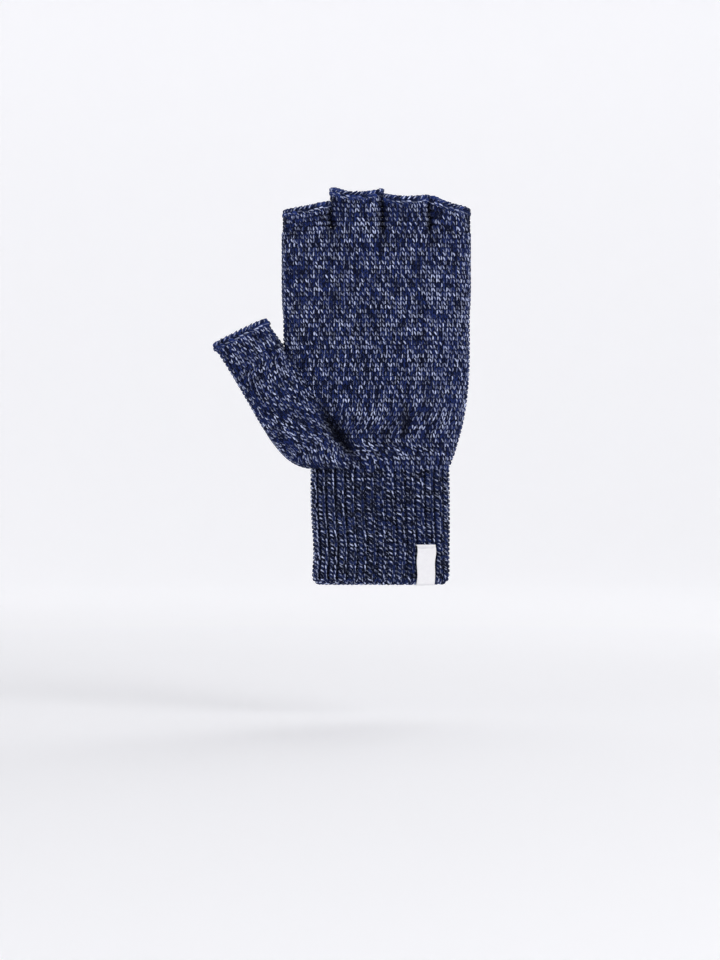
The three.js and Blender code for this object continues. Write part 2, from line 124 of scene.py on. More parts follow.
def remap(
    tree: Tree,
    value: Socket,
    start: tuple[float, float],
    end: tuple[float, float] = (0.0, 1.0),
) -> Socket:
    """Moves a value smoothly from one range to another, and holds it there.

    Args:
        tree: The tree to add it to.
        value: What to move.
        start: The range that it comes from.
        end: The range that it goes to.

    Returns:
        The new value.
    """
    node = tree.nodes.new("ShaderNodeMapRange")
    node.interpolation_type = "SMOOTHSTEP"
    for socket, number in zip(node.inputs[1:5], (*start, *end)):
        socket.default_value = number
    tree.links.new(value, node.inputs[0])
    return node.outputs[0]


def blend_colors(
    tree: Tree, share: object, low: object, high: object, mode: str = "MIX"
) -> Socket:
    """Mixes two colours.

    Args:
        tree: The tree to add it to.
        share: How much of the second one shows.
        low: The first colour.
        high: The second colour.
        mode: How they mix.

    Returns:
        The mixed colour.
    """
    node = tree.nodes.new("ShaderNodeMix")
    node.data_type = "RGBA"
    node.blend_type = mode
    feed(tree, node.inputs[0], share)
    feed(tree, node.inputs[6], low)
    feed(tree, node.inputs[7], high)
    return node.outputs[2]


def noise(
    tree: Tree, place: Socket, scale: float, detail: float = 2.0
) -> Socket:
    """Adds a noise texture and returns its value.

    Args:
        tree: The tree to add it to.
        place: The coordinates that it reads.
        scale: Its scale.
        detail: Its detail.

    Returns:
        Its value.
    """
    node = tree.nodes.new("ShaderNodeTexNoise")
    node.inputs["Scale"].default_value = scale
    node.inputs["Detail"].default_value = detail
    tree.links.new(place, node.inputs["Vector"])
    return node.outputs[0]


def raise_surface(
    tree: Tree, surface: bpy.types.Node, height: Socket, depth: float
) -> None:
    """Feeds a height to the surface's normal.

    Args:
        tree: The tree that holds the surface.
        surface: The Principled node.
        height: A height from 0 to 1.
        depth: What a height of 1 stands for, in metres.
    """
    bump = tree.nodes.new("ShaderNodeBump")
    bump.inputs["Strength"].default_value = 1.0
    bump.inputs["Distance"].default_value = depth
    tree.links.new(height, bump.inputs["Height"])
    tree.links.new(bump.outputs[0], surface.inputs["Normal"])


Color = tuple[float, float, float, float]


def srgb(red: int, green: int, blue: int) -> Color:
    """Turns a screen colour, 0 to 255, into a linear one."""

    def linear(value: int) -> float:
        """Turns one channel."""
        share = value / 255
        return share / 12.92 if share <= 0.04045 else ((share + 0.055) / 1.055) ** 2.4

    return (linear(red), linear(green), linear(blue), 1.0)


# ----------------------------------------------------------------------------- finishes


@dataclass(frozen=True)
class MarlYarn:
    """A navy strand twisted with an off-white one, on legs that carry a yarn map, darkened by painted
    shade where the legs carry a shade value.
    """

    name: str
    navy: Color = srgb(22, 33, 74)
    pale: Color = srgb(205, 215, 250)
    least_fleck: float = 0.22
    plies: float = 1.0
    turns: float = 0.3
    fleck_reach: tuple[float, float] = (0.62, 0.98)
    wander: float = 0.6
    drift: float = 0.3
    fleck_span: tuple[float, float] = (0.2, 0.42)

    def build(self) -> bpy.types.Material:
        """Makes the material.

        Returns:
            The material.
        """
        material, tree, surface = shader_tree(self.name)
        yarn = tree.nodes.new("ShaderNodeUVMap")
        yarn.uv_map = "yarn"
        split = tree.nodes.new("ShaderNodeSeparateXYZ")
        tree.links.new(yarn.outputs[0], split.inputs[0])
        along, around = split.outputs[0], split.outputs[1]
        tone = tree.nodes.new("ShaderNodeAttribute")
        tone.attribute_name = "tone"
        tone_value = tone.outputs["Fac"]
        second = maths(tree, "FRACT", maths(tree, "MULTIPLY", tone_value, 37.7))
        third = maths(tree, "FRACT", maths(tree, "MULTIPLY", tone_value, 91.3))
        start = maths(tree, "MULTIPLY_ADD", second, self.wander, -self.wander / 2)
        phase = maths(tree, "MULTIPLY_ADD", along, self.turns, start)
        helix = maths(tree, "ADD", maths(tree, "MULTIPLY", around, self.plies), phase)
        ply = maths(tree, "SINE", maths(tree, "MULTIPLY", helix, 2 * math.pi))
        lit = remap(tree, ply, self.fleck_reach)
        strength = remap(tree, tone_value, (0.0, 1.0), (self.least_fleck, 1.0))
        off_middle = maths(tree, "MULTIPLY_ADD", third, self.drift, -0.5 - self.drift / 2)
        away = maths(tree, "ABSOLUTE", maths(tree, "ADD", maths(tree, "FRACT", along), off_middle))
        window = remap(tree, away, self.fleck_span, (1.0, 0.0))
        mask = maths(tree, "MULTIPLY", maths(tree, "MULTIPLY", lit, window), strength)
        place = tree.nodes.new("ShaderNodeTexCoord").outputs["Object"]
        banded = tree.nodes.new("ShaderNodeMapping")
        banded.inputs["Scale"].default_value = (1.0, 1.0, 3.0)
        tree.links.new(place, banded.inputs["Vector"])
        drift = noise(tree, banded.outputs[0], 70.0, 3.0)
        mask = maths(tree, "MULTIPLY", mask, remap(tree, drift, (0.3, 0.66), (0.55, 1.1)), clamp=True)
        shade = remap(tree, third, (0.0, 1.0), (0.0, 1.0))
        deep = tuple(channel * 0.35 for channel in self.navy[:3]) + (1.0,)
        bright = tuple(channel * 1.7 for channel in self.navy[:3]) + (1.0,)
        dyed = blend_colors(tree, shade, deep, bright)
        color = blend_colors(tree, mask, dyed, self.pale)
        # Painted shade: the legs' shade value darkens the yarn towards near-black navy in creases, folds
        # and finger furrows.
        shade = tree.nodes.new("ShaderNodeAttribute")
        shade.attribute_name = "shade"
        dark = tuple(channel * 0.12 for channel in self.navy[:3]) + (1.0,)
        color = blend_colors(tree, shade.outputs["Fac"], color, dark)
        tree.links.new(color, surface.inputs["Base Color"])
        fibres = noise(tree, place, 2600.0, 2.0)
        height = maths(tree, "ADD", maths(tree, "MULTIPLY", ply, 0.35), fibres)
        raise_surface(tree, surface, height, 0.00012)
        surface.inputs["Roughness"].default_value = 0.92
        surface.inputs["Sheen Weight"].default_value = 0.03
        surface.inputs["Sheen Roughness"].default_value = 0.5
        surface.inputs["Sheen Tint"].default_value = (0.75, 0.8, 1.0, 1.0)
        surface.inputs["Specular IOR Level"].default_value = 0.12
        return material


@dataclass(frozen=True)
class InsideKnit:
    """The fabric under and behind the raised stitches, on a map of wales and courses."""

    name: str
    navy: Color = srgb(10, 15, 34)
    pale: Color = srgb(64, 72, 104)

    def build(self) -> bpy.types.Material:
        """Makes the material.

        Returns:
            The material.
        """
        material, tree, surface = shader_tree(self.name)
        chart = tree.nodes.new("ShaderNodeUVMap")
        chart.uv_map = "chart"
        split = tree.nodes.new("ShaderNodeSeparateXYZ")
        tree.links.new(chart.outputs[0], split.inputs[0])
        wale, course = split.outputs[0], split.outputs[1]
        wave = maths(tree, "SINE", maths(tree, "MULTIPLY", wale, 2 * math.pi))
        shifted = maths(tree, "ADD", course, maths(tree, "MULTIPLY", wave, 0.22))
        purl = maths(tree, "SINE", maths(tree, "MULTIPLY", shifted, 2 * math.pi))
        height = maths(tree, "MULTIPLY_ADD", purl, 0.5, 0.5)
        cell = tree.nodes.new("ShaderNodeTexWhiteNoise")
        cell.noise_dimensions = "2D"
        floor_wale = maths(tree, "FLOOR", maths(tree, "MULTIPLY", wale, 2.0))
        floor_course = maths(tree, "FLOOR", shifted)
        join = tree.nodes.new("ShaderNodeCombineXYZ")
        tree.links.new(floor_wale, join.inputs[0])
        tree.links.new(floor_course, join.inputs[1])
        tree.links.new(join.outputs[0], cell.inputs["Vector"])
        fleck = maths(tree, "MULTIPLY", remap(tree, cell.outputs[0], (0.55, 0.85)), height)
        tree.links.new(blend_colors(tree, fleck, self.navy, self.pale), surface.inputs["Base Color"])
        raise_surface(tree, surface, height, 0.0005)
        surface.inputs["Roughness"].default_value = 0.95
        surface.inputs["Specular IOR Level"].default_value = 0.15
        return material


@dataclass(frozen=True)
class WovenTape:
    """White woven label tape."""

    name: str = "white_tape"
    white: Color = srgb(250, 249, 250)
    shade: Color = srgb(226, 225, 230)
    threads_per_metre: float = 3200.0

    def build(self) -> bpy.types.Material:
        """Makes the material.

        Returns:
            The material.
        """
        material, tree, surface = shader_tree(self.name)
        place = tree.nodes.new("ShaderNodeTexCoord").outputs["Object"]
        split = tree.nodes.new("ShaderNodeSeparateXYZ")
        tree.links.new(place, split.inputs[0])
        pitch = self.threads_per_metre * 2 * math.pi
        across = maths(tree, "SINE", maths(tree, "MULTIPLY", split.outputs[0], pitch))
        down = maths(tree, "SINE", maths(tree, "MULTIPLY", split.outputs[2], pitch))
        weave = maths(tree, "MULTIPLY_ADD", maths(tree, "MULTIPLY", across, down), 0.5, 0.5)
        patch = noise(tree, place, 400.0, 3.0)
        share = maths(tree, "MULTIPLY", weave, patch)
        tree.links.new(blend_colors(tree, share, self.white, self.shade), surface.inputs["Base Color"])
        raise_surface(tree, surface, weave, 0.00006)
        surface.inputs["Roughness"].default_value = 0.72
        surface.inputs["Sheen Weight"].default_value = 0.15
        return material


@dataclass(frozen=True)
class HornButton:
    """Dark, streaked horn effect with a satin polish."""

    name: str = "streaked_horn"
    dark: Color = srgb(38, 27, 22)
    light: Color = srgb(92, 66, 48)

    def build(self) -> bpy.types.Material:
        """Makes the material.

        Returns:
            The material.
        """
        material, tree, surface = shader_tree(self.name)
        place = tree.nodes.new("ShaderNodeTexCoord").outputs["Object"]
        stretch = tree.nodes.new("ShaderNodeMapping")
        stretch.inputs["Scale"].default_value = (1.0, 1.0, 0.25)
        tree.links.new(place, stretch.inputs["Vector"])
        streaks = noise(tree, stretch.outputs[0], 620.0, 5.0)
        share = remap(tree, streaks, (0.42, 0.68))
        tree.links.new(blend_colors(tree, share, self.dark, self.light), surface.inputs["Base Color"])
        scuffs = noise(tree, place, 1500.0, 3.0)
        rough = remap(tree, scuffs, (0.3, 0.75), (0.28, 0.46))
        tree.links.new(rough, surface.inputs["Roughness"])
        raise_surface(tree, surface, scuffs, 0.00003)
        return material


class Finish(Enum):
    """The finishes that pieces are dressed in."""

    KNIT = MarlYarn("knit_yarn")
    RIB = MarlYarn("rib_yarn", navy=srgb(19, 29, 63), plies=2.0, turns=0.7, fleck_reach=(0.45, 0.9),
                   least_fleck=0.35)
    EDGE = MarlYarn(
        "edge_chain_yarn", navy=srgb(30, 43, 88), plies=2.0, turns=0.8, fleck_reach=(0.5, 0.92))
    INSIDE = InsideKnit("inside_knit")
    LABEL = WovenTape()
    HORN = HornButton()

    def material(self) -> bpy.types.Material:
        """Makes the finish's material the first time, and returns it.

        Returns:
            The material.
        """
        return bpy.data.materials.get(self.value.name) or self.value.build()


# ------------------------------------------------------------------------- mesh tools


def mesh_piece(name: str, points: Array, faces: list[Face], finish: Finish) -> bpy.types.Object:
    """Makes a smooth mesh object at the origin.

    Args:
        name: Its name.
        points: Its vertices.
        faces: Its faces, pointing out.
        finish: Its finish.

    Returns:
        The object.
    """
    mesh = bpy.data.meshes.new(name)
    mesh.from_pydata([tuple(point) for point in points], [], faces)
    mesh.polygons.foreach_set("use_smooth", [True] * len(mesh.polygons))
    mesh.materials.append(finish.material())
    mesh.update()
    piece = bpy.data.objects.new(name, mesh)
    bpy.context.scene.collection.objects.link(piece)
    return piece


def wall_piece(name: str, rings: list[Array], chart: list[Array], finish: Finish) -> bpy.types.Object:
    """Makes a tube's wall from closed rings that go up outside and come down inside.

    Args:
        name: Its name.
        rings: The rings, each with as many points, the last one next to the first.
        chart: Each ring's wale and course numbers, with one more point that closes it.
        finish: Its finish.

    Returns:
        The object.
    """
    count, size = len(rings), len(rings[0])
    points = np.concatenate(rings)
    faces, corners = [], []
    chart_rings = [*chart, chart[-1] + (chart[-1] - chart[-2])]
    for low in range(count):
        high = (low + 1) % count
        for i in range(size):
            j = (i + 1) % size
            faces.append((low * size + i, low * size + j, high * size + j, high * size + i))
            lower, upper = chart_rings[low], chart_rings[low + 1]
            corners += [lower[i], lower[i + 1], upper[i + 1], upper[i]]
    piece = mesh_piece(name, points, faces, finish)
    add_map(piece.data, "chart", corners)
    return piece


def ring_faces(rings: int, sides: int) -> list[Face]:
    """The quads of a tube whose points come ring by ring, facing away from its middle.

    Args:
        rings: How many rings it has.
        sides: Points in each ring.

    Returns:
        Its quads.
    """
    quads = []
    for low in range(rings - 1):
        for i in range(sides):
            j = (i + 1) % sides
            near, far = low * sides, (low + 1) * sides
            quads.append((near + j, near + i, far + i, far + j))
    return quads


def runs_along(path: Array) -> Array:
    """How far along a path each of its points lies."""
    return np.concatenate([[0.0], np.cumsum(np.linalg.norm(np.diff(path, axis=0), axis=1))])


def add_map(mesh: bpy.types.Mesh, name: str, corners: list[tuple[float, float]]) -> None:
    """Gives a mesh a map with a place for each face's corners."""
    mesh.uv_layers.new(name=name).data.foreach_set("uv", np.array(corners, np.float32).ravel())


def closed_length(ring: Array) -> Array:
    """Distances along a closed ring, with its whole length last."""
    steps = np.linalg.norm(np.roll(ring, -1, axis=0) - ring, axis=1)
    return np.concatenate([[0.0], np.cumsum(steps)])


def at_shares(ring: Array, shares: Array) -> Array:
    """Points of a closed ring at shares of its length."""
    distances = closed_length(ring)
    closed = np.vstack([ring, ring[:1]])
    wanted = (shares % 1.0) * distances[-1]
    return np.stack([np.interp(wanted, distances, closed[:, axis]) for axis in range(3)], axis=1)


def along_line(line: Array, wanted: Array) -> Array:
    """Points of an open line at distances along it."""
    distances = runs_along(line)
    return np.stack([np.interp(wanted, distances, line[:, axis]) for axis in range(3)], axis=1)


def unit(vectors: Array) -> Array:
    """Vectors scaled to a length of 1."""
    lengths = np.linalg.norm(vectors, axis=-1, keepdims=True)
    return vectors / np.maximum(lengths, 1e-12)


def squared(values: Array, power: float) -> Array:
    """Sines or cosines bent from a circle's towards a rounded rectangle's."""
    return np.sign(values) * np.abs(values) ** (2 / power)


def flat_ring(half_width: float, half_depth: float, power: float, points: int = 240) -> Array:
    """A flattened ring in the XY plane that starts in the middle of the back.

    Args:
        half_width: Half its size along X.
        half_depth: Half its size along Y.
        power: 2 is an ellipse, and more is squarer.
        points: How many points it has.

    Returns:
        Its points, anticlockwise from above.
    """
    angles = math.pi / 2 + np.arange(points) / points * 2 * math.pi
    wide, deep = squared(np.cos(angles), power), squared(np.sin(angles), power)
    return np.stack([wide * half_width, deep * half_depth, np.zeros(points)], axis=1)


def unevenness(points: Array, size: float) -> Array:
    """A slow, fixed waviness over space, between about -1 and 1.

    Args:
        points: Where it is wanted.
        size: The length of its waves.

    Returns:
        One number for each point.
    """
    x, y, z = (points[:, axis] / size for axis in range(3))
    return (
        np.sin(2.1 * x + 1.3 * z + 0.7) + np.sin(-1.4 * x + 2.3 * z + 1.9 * y + 2.1)
        + np.sin(3.1 * x - 0.6 * z + 1.1 * y + 4.0)
    ) / 3


# ---------------------------------------------------------------------------- stitches


@dataclass
class StitchField:
    """Knit stitches on a surface: where each is, which way it runs and faces, and its gauge."""

    places: list[Array] = field(default_factory=list)
    ways: list[Array] = field(default_factory=list)
    outs: list[Array] = field(default_factory=list)
    gauges: list[Array] = field(default_factory=list)
    # painted_shade gives each point the share of painted shade that darkens its yarn.
    painted_shade: Callable[[Array], Array] | None = None

    def add(
        self, places: Array, ways: Array, outs: Array, wale: Array | float, course: Array | float
    ) -> None:
        """Adds stitches.

        Args:
            places: Their middles.
            ways: The way their wale runs.
            outs: The way they face.
            wale: Their width.
            course: Their height.
        """
        count = len(places)
        gauge = np.stack([np.broadcast_to(wale, count), np.broadcast_to(course, count)], axis=1)
        self.places.append(places)
        self.ways.append(unit(ways))
        self.outs.append(unit(outs))
        self.gauges.append(gauge)

    def widen(self, wale: float) -> None:
        """Gives every stitch the same width."""
        self.gauges = [
            np.column_stack([np.full(len(gauge), wale), gauge[:, 1]]) for gauge in self.gauges]

    def merged(self) -> tuple[Array, Array, Array, Array]:
        """All the stitches in four arrays: places, ways, outs and gauges."""
        return tuple(np.concatenate(rows) for rows in (self.places, self.ways, self.outs, self.gauges))

    def kept(self, keep: Callable[[Array], Array]) -> StitchField:
        """The stitches whose places pass a test, as a new field."""
        places, ways, outs, gauges = self.merged()
        mask = keep(places)
        return StitchField([places[mask]], [ways[mask]], [outs[mask]], [gauges[mask]], self.painted_shade)


class Leg(Enum):
    """The shapes that half a stitch can have: length, width, thickness and tilts."""

    PLAIN = (1.5, 0.46, 0.46, 17.0, 15.0)
    LEANING = (1.5, 0.46, 0.46, 8.0, 20.0)
    RIB = (1.6, 0.5, 0.5, 34.0, 10.0)
    CHAIN = (1.55, 0.5, 0.5, 28.0, 28.0)
    PURL = (1.0, 0.75, 0.5, 4.0, 4.0)


@dataclass
class YarnLeg:
    """Half a stitch: a short, bowed, closed piece of yarn along its own Z."""

    sides: int = 5
    stations: int = 4
    bow: float = 0.75

    def build(self) -> bpy.types.Object:
        """Makes the leg, one unit long, wide and thick, with its yarn map.

        Returns:
            The object, which isn't in the scene.
        """
        points, map_points = [], []
        shares = np.linspace(0.0, 1.0, self.stations)
        for share in shares:
            across = 2 * share - 1
            radius = 0.5 * (1 - abs(across) ** 3.2) ** 0.5 if abs(across) < 1 else 0.0
            radius = max(radius, 0.2)
            for side in range(self.sides):
                turn = side / self.sides * 2 * math.pi
                points.append((
                    radius * math.cos(turn),
                    radius * math.sin(turn) - self.bow * across * across,
                    across / 2,
                ))
                map_points.append((share, side / self.sides))
        faces, corners = [], []
        for low in range(self.stations - 1):
            for side in range(self.sides):
                near, far = low * self.sides + side, low * self.sides + (side + 1) % self.sides
                faces.append((near, far, far + self.sides, near + self.sides))
                start, end = map_points[near], map_points[near + self.sides]
                step = 1 / self.sides
                corners += [start, (start[0], start[1] + step), (end[0], end[1] + step), end]
        bottom = tuple(range(self.sides))[::-1]
        top = tuple(range((self.stations - 1) * self.sides, self.stations * self.sides))
        faces += [bottom, top]
        corners += [map_points[i] for i in (*bottom, *top)]
        mesh = bpy.data.meshes.new("yarn_leg")
        mesh.from_pydata(points, [], faces)
        mesh.polygons.foreach_set("use_smooth", [True] * len(mesh.polygons))
        add_map(mesh, "yarn", corners)
        return bpy.data.objects.new("yarn_leg", mesh)


class StitchMaker:
    """Turns fields of stitches into yarn, with one Geometry Nodes tree."""

    def __init__(self) -> None:
        """Builds the tree and the leg that it repeats."""
        self.leg = YarnLeg().build()
        self.tree = self._build_tree()
        self.random = np.random.default_rng(7)
        self.knitted = 0

    @staticmethod
    def _open_sockets(face: bpy.types.NodeTreeInterface) -> None:
        """Names what the tree takes in and gives out."""
        face.new_socket("Geometry", in_out="INPUT", socket_type="NodeSocketGeometry")
        face.new_socket("Leg", in_out="INPUT", socket_type="NodeSocketObject")
        for name in ("Length", "Width", "Thickness", "Left Tilt", "Right Tilt", "Jitter"):
            face.new_socket(name, in_out="INPUT", socket_type="NodeSocketFloat")
        face.new_socket("Seed", in_out="INPUT", socket_type="NodeSocketInt")
        face.new_socket("Material", in_out="INPUT", socket_type="NodeSocketMaterial")
        face.new_socket("Geometry", in_out="OUTPUT", socket_type="NodeSocketGeometry")

    def _build_tree(self) -> Tree:
        """Builds the tree that sets a leg on each point.

        Returns:
            The tree.
        """
        tree = bpy.data.node_groups.new("knit_stitches", "GeometryNodeTree")
        self._open_sockets(tree.interface)
        given = tree.nodes.new("NodeGroupInput").outputs

        def named(name: str, kind: str) -> Socket:
            """Reads an attribute of the points."""
            node = tree.nodes.new("GeometryNodeInputNamedAttribute")
            node.data_type = kind
            node.inputs["Name"].default_value = name
            return node.outputs["Attribute"]

        def align(axis: str, pivot: str, rotation: object, vector: object) -> Socket:
            """Turns a rotation's axis to a vector."""
            node = tree.nodes.new("FunctionNodeAlignRotationToVector")
            node.axis = axis
            node.pivot_axis = pivot
            feed(tree, node.inputs["Rotation"], rotation)
            feed(tree, node.inputs["Vector"], vector)
            return node.outputs[0]

        def scatter(low: float, high: float, offset: int) -> Socket:
            """A random number for each point."""
            node = tree.nodes.new("FunctionNodeRandomValue")
            node.data_type = "FLOAT"
            node.inputs[2].default_value = low
            node.inputs[3].default_value = high
            feed(tree, node.inputs["Seed"], maths(tree, "ADD", given["Seed"], float(offset)))
            return node.outputs[1]

        facing = align("Z", "AUTO", None, named("way", "FLOAT_VECTOR"))
        facing = align("Y", "Z", facing, named("out", "FLOAT_VECTOR"))
        gauge = tree.nodes.new("ShaderNodeSeparateXYZ")
        tree.links.new(named("gauge", "FLOAT_VECTOR"), gauge.inputs[0])
        wale, course, side = gauge.outputs
        right = maths(tree, "GREATER_THAN", side, 0.0)
        left = maths(tree, "SUBTRACT", 1.0, right)
        lean = maths(
            tree, "SUBTRACT",
            maths(tree, "MULTIPLY", left, given["Left Tilt"]),
            maths(tree, "MULTIPLY", right, given["Right Tilt"]))
        lean = maths(tree, "MULTIPLY_ADD", scatter(-1.0, 1.0, 1), given["Jitter"], lean)
        turn = tree.nodes.new("FunctionNodeAxisAngleToRotation")
        turn.inputs["Axis"].default_value = (0.0, 1.0, 0.0)
        tree.links.new(lean, turn.inputs["Angle"])
        rotate = tree.nodes.new("FunctionNodeRotateRotation")
        rotate.rotation_space = "LOCAL"
        tree.links.new(facing, rotate.inputs["Rotation"])
        tree.links.new(turn.outputs[0], rotate.inputs["Rotate By"])
        size = tree.nodes.new("ShaderNodeCombineXYZ")
        plump = scatter(0.88, 1.12, 2)
        wide = maths(tree, "MULTIPLY", maths(tree, "MULTIPLY", wale, given["Width"]), plump)
        tree.links.new(wide, size.inputs[0])
        thick = maths(tree, "MULTIPLY", maths(tree, "MULTIPLY", wale, given["Thickness"]), plump)
        tree.links.new(thick, size.inputs[1])
        tree.links.new(maths(tree, "MULTIPLY", course, given["Length"]), size.inputs[2])
        leg = tree.nodes.new("GeometryNodeObjectInfo")
        tree.links.new(given["Leg"], leg.inputs["Object"])
        place = tree.nodes.new("GeometryNodeInstanceOnPoints")
        tree.links.new(given["Geometry"], place.inputs["Points"])
        tree.links.new(leg.outputs["Geometry"], place.inputs["Instance"])
        tree.links.new(rotate.outputs[0], place.inputs["Rotation"])
        tree.links.new(size.outputs[0], place.inputs["Scale"])
        realize = tree.nodes.new("GeometryNodeRealizeInstances")
        tree.links.new(place.outputs[0], realize.inputs[0])
        dress = tree.nodes.new("GeometryNodeSetMaterial")
        tree.links.new(realize.outputs[0], dress.inputs["Geometry"])
        tree.links.new(given["Material"], dress.inputs["Material"])
        output = tree.nodes.new("NodeGroupOutput")
        tree.links.new(dress.outputs[0], output.inputs["Geometry"])
        return tree

    def _points(self, stitches: StitchField) -> bpy.types.Object:
        """Makes a mesh with a point for each leg, and what the tree reads from it.

        Args:
            stitches: The stitches.

        Returns:
            The object, in the scene.
        """
        places, ways, outs, gauges = stitches.merged()
        across = np.cross(ways, outs)
        count = len(places)
        sides = np.repeat([-1.0, 1.0], count)
        offset = (0.25 * gauges[:, :1]) * across
        points = np.concatenate([places - offset, places + offset])
        mesh = bpy.data.meshes.new("stitch_points")
        mesh.from_pydata([tuple(point) for point in points], [], [])
        rows = {
            "way": np.concatenate([ways, ways]),
            "out": np.concatenate([outs, outs]),
            "gauge": np.column_stack([np.concatenate([gauges, gauges]), sides]),
        }
        for name, values in rows.items():
            layer = mesh.attributes.new(name, "FLOAT_VECTOR", "POINT")
            layer.data.foreach_set("vector", values.astype(np.float32).ravel())
        tone = mesh.attributes.new("tone", "FLOAT", "POINT")
        tone.data.foreach_set("value", self.random.random(len(points)).astype(np.float32))
        # Painted shade: each leg's point carries the share of darkening that the yarn material paints on
        # it.
        if stitches.painted_shade:
            shade = mesh.attributes.new("shade", "FLOAT", "POINT")
            shade.data.foreach_set("value", stitches.painted_shade(points).astype(np.float32))
        holder = bpy.data.objects.new("stitch_points", mesh)
        bpy.context.scene.collection.objects.link(holder)
        return holder

    def knit(
        self, name: str, stitches: StitchField, leg: Leg, finish: Finish, jitter: float = 5.0
    ) -> bpy.types.Object:
        """Knits a field into a plain mesh.

        Args:
            name: The piece's name.
            stitches: Its stitches.
            leg: The shape of their legs.
            finish: The yarn.
            jitter: How far a leg's tilt strays, in degrees.

        Returns:
            The object, at the origin.
        """
        self.knitted += 1
        holder = self._points(stitches)
        modifier = holder.modifiers.new("stitches", "NODES")
        length, width, thickness, left, right = leg.value
        values = {
            "Leg": self.leg, "Length": length, "Width": width, "Thickness": thickness,
            "Left Tilt": math.radians(left), "Right Tilt": math.radians(right),
            "Jitter": math.radians(jitter), "Seed": self.knitted,
            "Material": finish.material(),
        }
        modifier.node_group = self.tree
        for item in self.tree.interface.items_tree:
            if item.in_out == "INPUT" and item.name in values:
                modifier[item.identifier] = values[item.name]
        bpy.context.view_layer.update()
        seen = holder.evaluated_get(bpy.context.evaluated_depsgraph_get())
        mesh = bpy.data.meshes.new_from_object(seen)
        mesh.name = name
        for extra in ("way", "out", "gauge"):
            if extra in mesh.attributes:
                mesh.attributes.remove(mesh.attributes[extra])
        piece = bpy.data.objects.new(name, mesh)
        bpy.context.scene.collection.objects.link(piece)
        points = holder.data
        bpy.data.objects.remove(holder)
        bpy.data.meshes.remove(points)
        return piece


# ------------------------------------------------------------------------------ tubes

RingAt = Callable[[float, float], Array]


@dataclass
class KnitTube:
    """A knitted tube: its stitches, and the thin fabric that they stand on."""

    name: str
    ring_at: RingAt
    height: float
    wales: int
    courses: int
    wall: float = 1.6 * MM
    sink: float = 0.55 * MM
    ring_points: int = 160

    def stitches(self, first: float = 0.0, rows: range | None = None) -> StitchField:
        """Sets a stitch at each crossing of a wale and a course.

        Args:
            first: The share of a wale by which the first one is moved.
            rows: Which courses to knit, or all of them.

        Returns:
            The stitches.
        """
        field_ = StitchField()
        shares = (np.arange(self.wales) + first) / self.wales
        nudge = 0.02
        for course in rows or range(self.courses):
            share = (course + 0.5) / self.courses
            ring = self.ring_at(share, 0.0)
            length = closed_length(ring)[-1]
            places = at_shares(ring, shares)
            above = at_shares(self.ring_at(min(1.0, share + nudge), 0.0), shares)
            below = at_shares(self.ring_at(max(0.0, share - nudge), 0.0), shares)
            ahead = at_shares(ring, shares + 0.002)
            behind = at_shares(ring, shares - 0.002)
            ways = above - below
            outs = np.cross(ahead - behind, ways)
            field_.add(places, ways, outs, length / self.wales, self.height / self.courses)
        return field_

    def fabric(self, levels: int = 24, inside: Finish = Finish.INSIDE) -> bpy.types.Object:
        """Makes the closed wall behind the stitches.

        Args:
            levels: How many rings each side of it has.
            inside: Its finish.

        Returns:
            The object.
        """
        shares = np.arange(self.ring_points) / self.ring_points
        chart_wales = np.append(shares, 1.0) * self.wales
        rings, chart = [], []
        for inset, order in ((self.sink, 1), (self.sink + self.wall, -1)):
            for share in np.linspace(0.0, 1.0, levels)[::order]:
                rings.append(at_shares(self.ring_at(share, inset), shares))
                level = np.full(self.ring_points + 1, share * self.courses)
                chart.append(np.column_stack([chart_wales, level]))
        return wall_piece(self.name + "_fabric", rings, chart, inside)


def rides(body: str, slot: str, *pieces: bpy.types.Object) -> None:
    """Sets pieces to ride on a body.

    Args:
        body: The body.
        slot: The slot, which is not used.
        *pieces: The pieces.
    """
    for piece in pieces:
        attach(piece, body)
        faces = len(piece.data.polygons) if piece.type == "MESH" else 0
        LOG.info("%s: %d faces on %s", piece.name, faces, body)


# ------------------------------------------------------------------------------- cuff


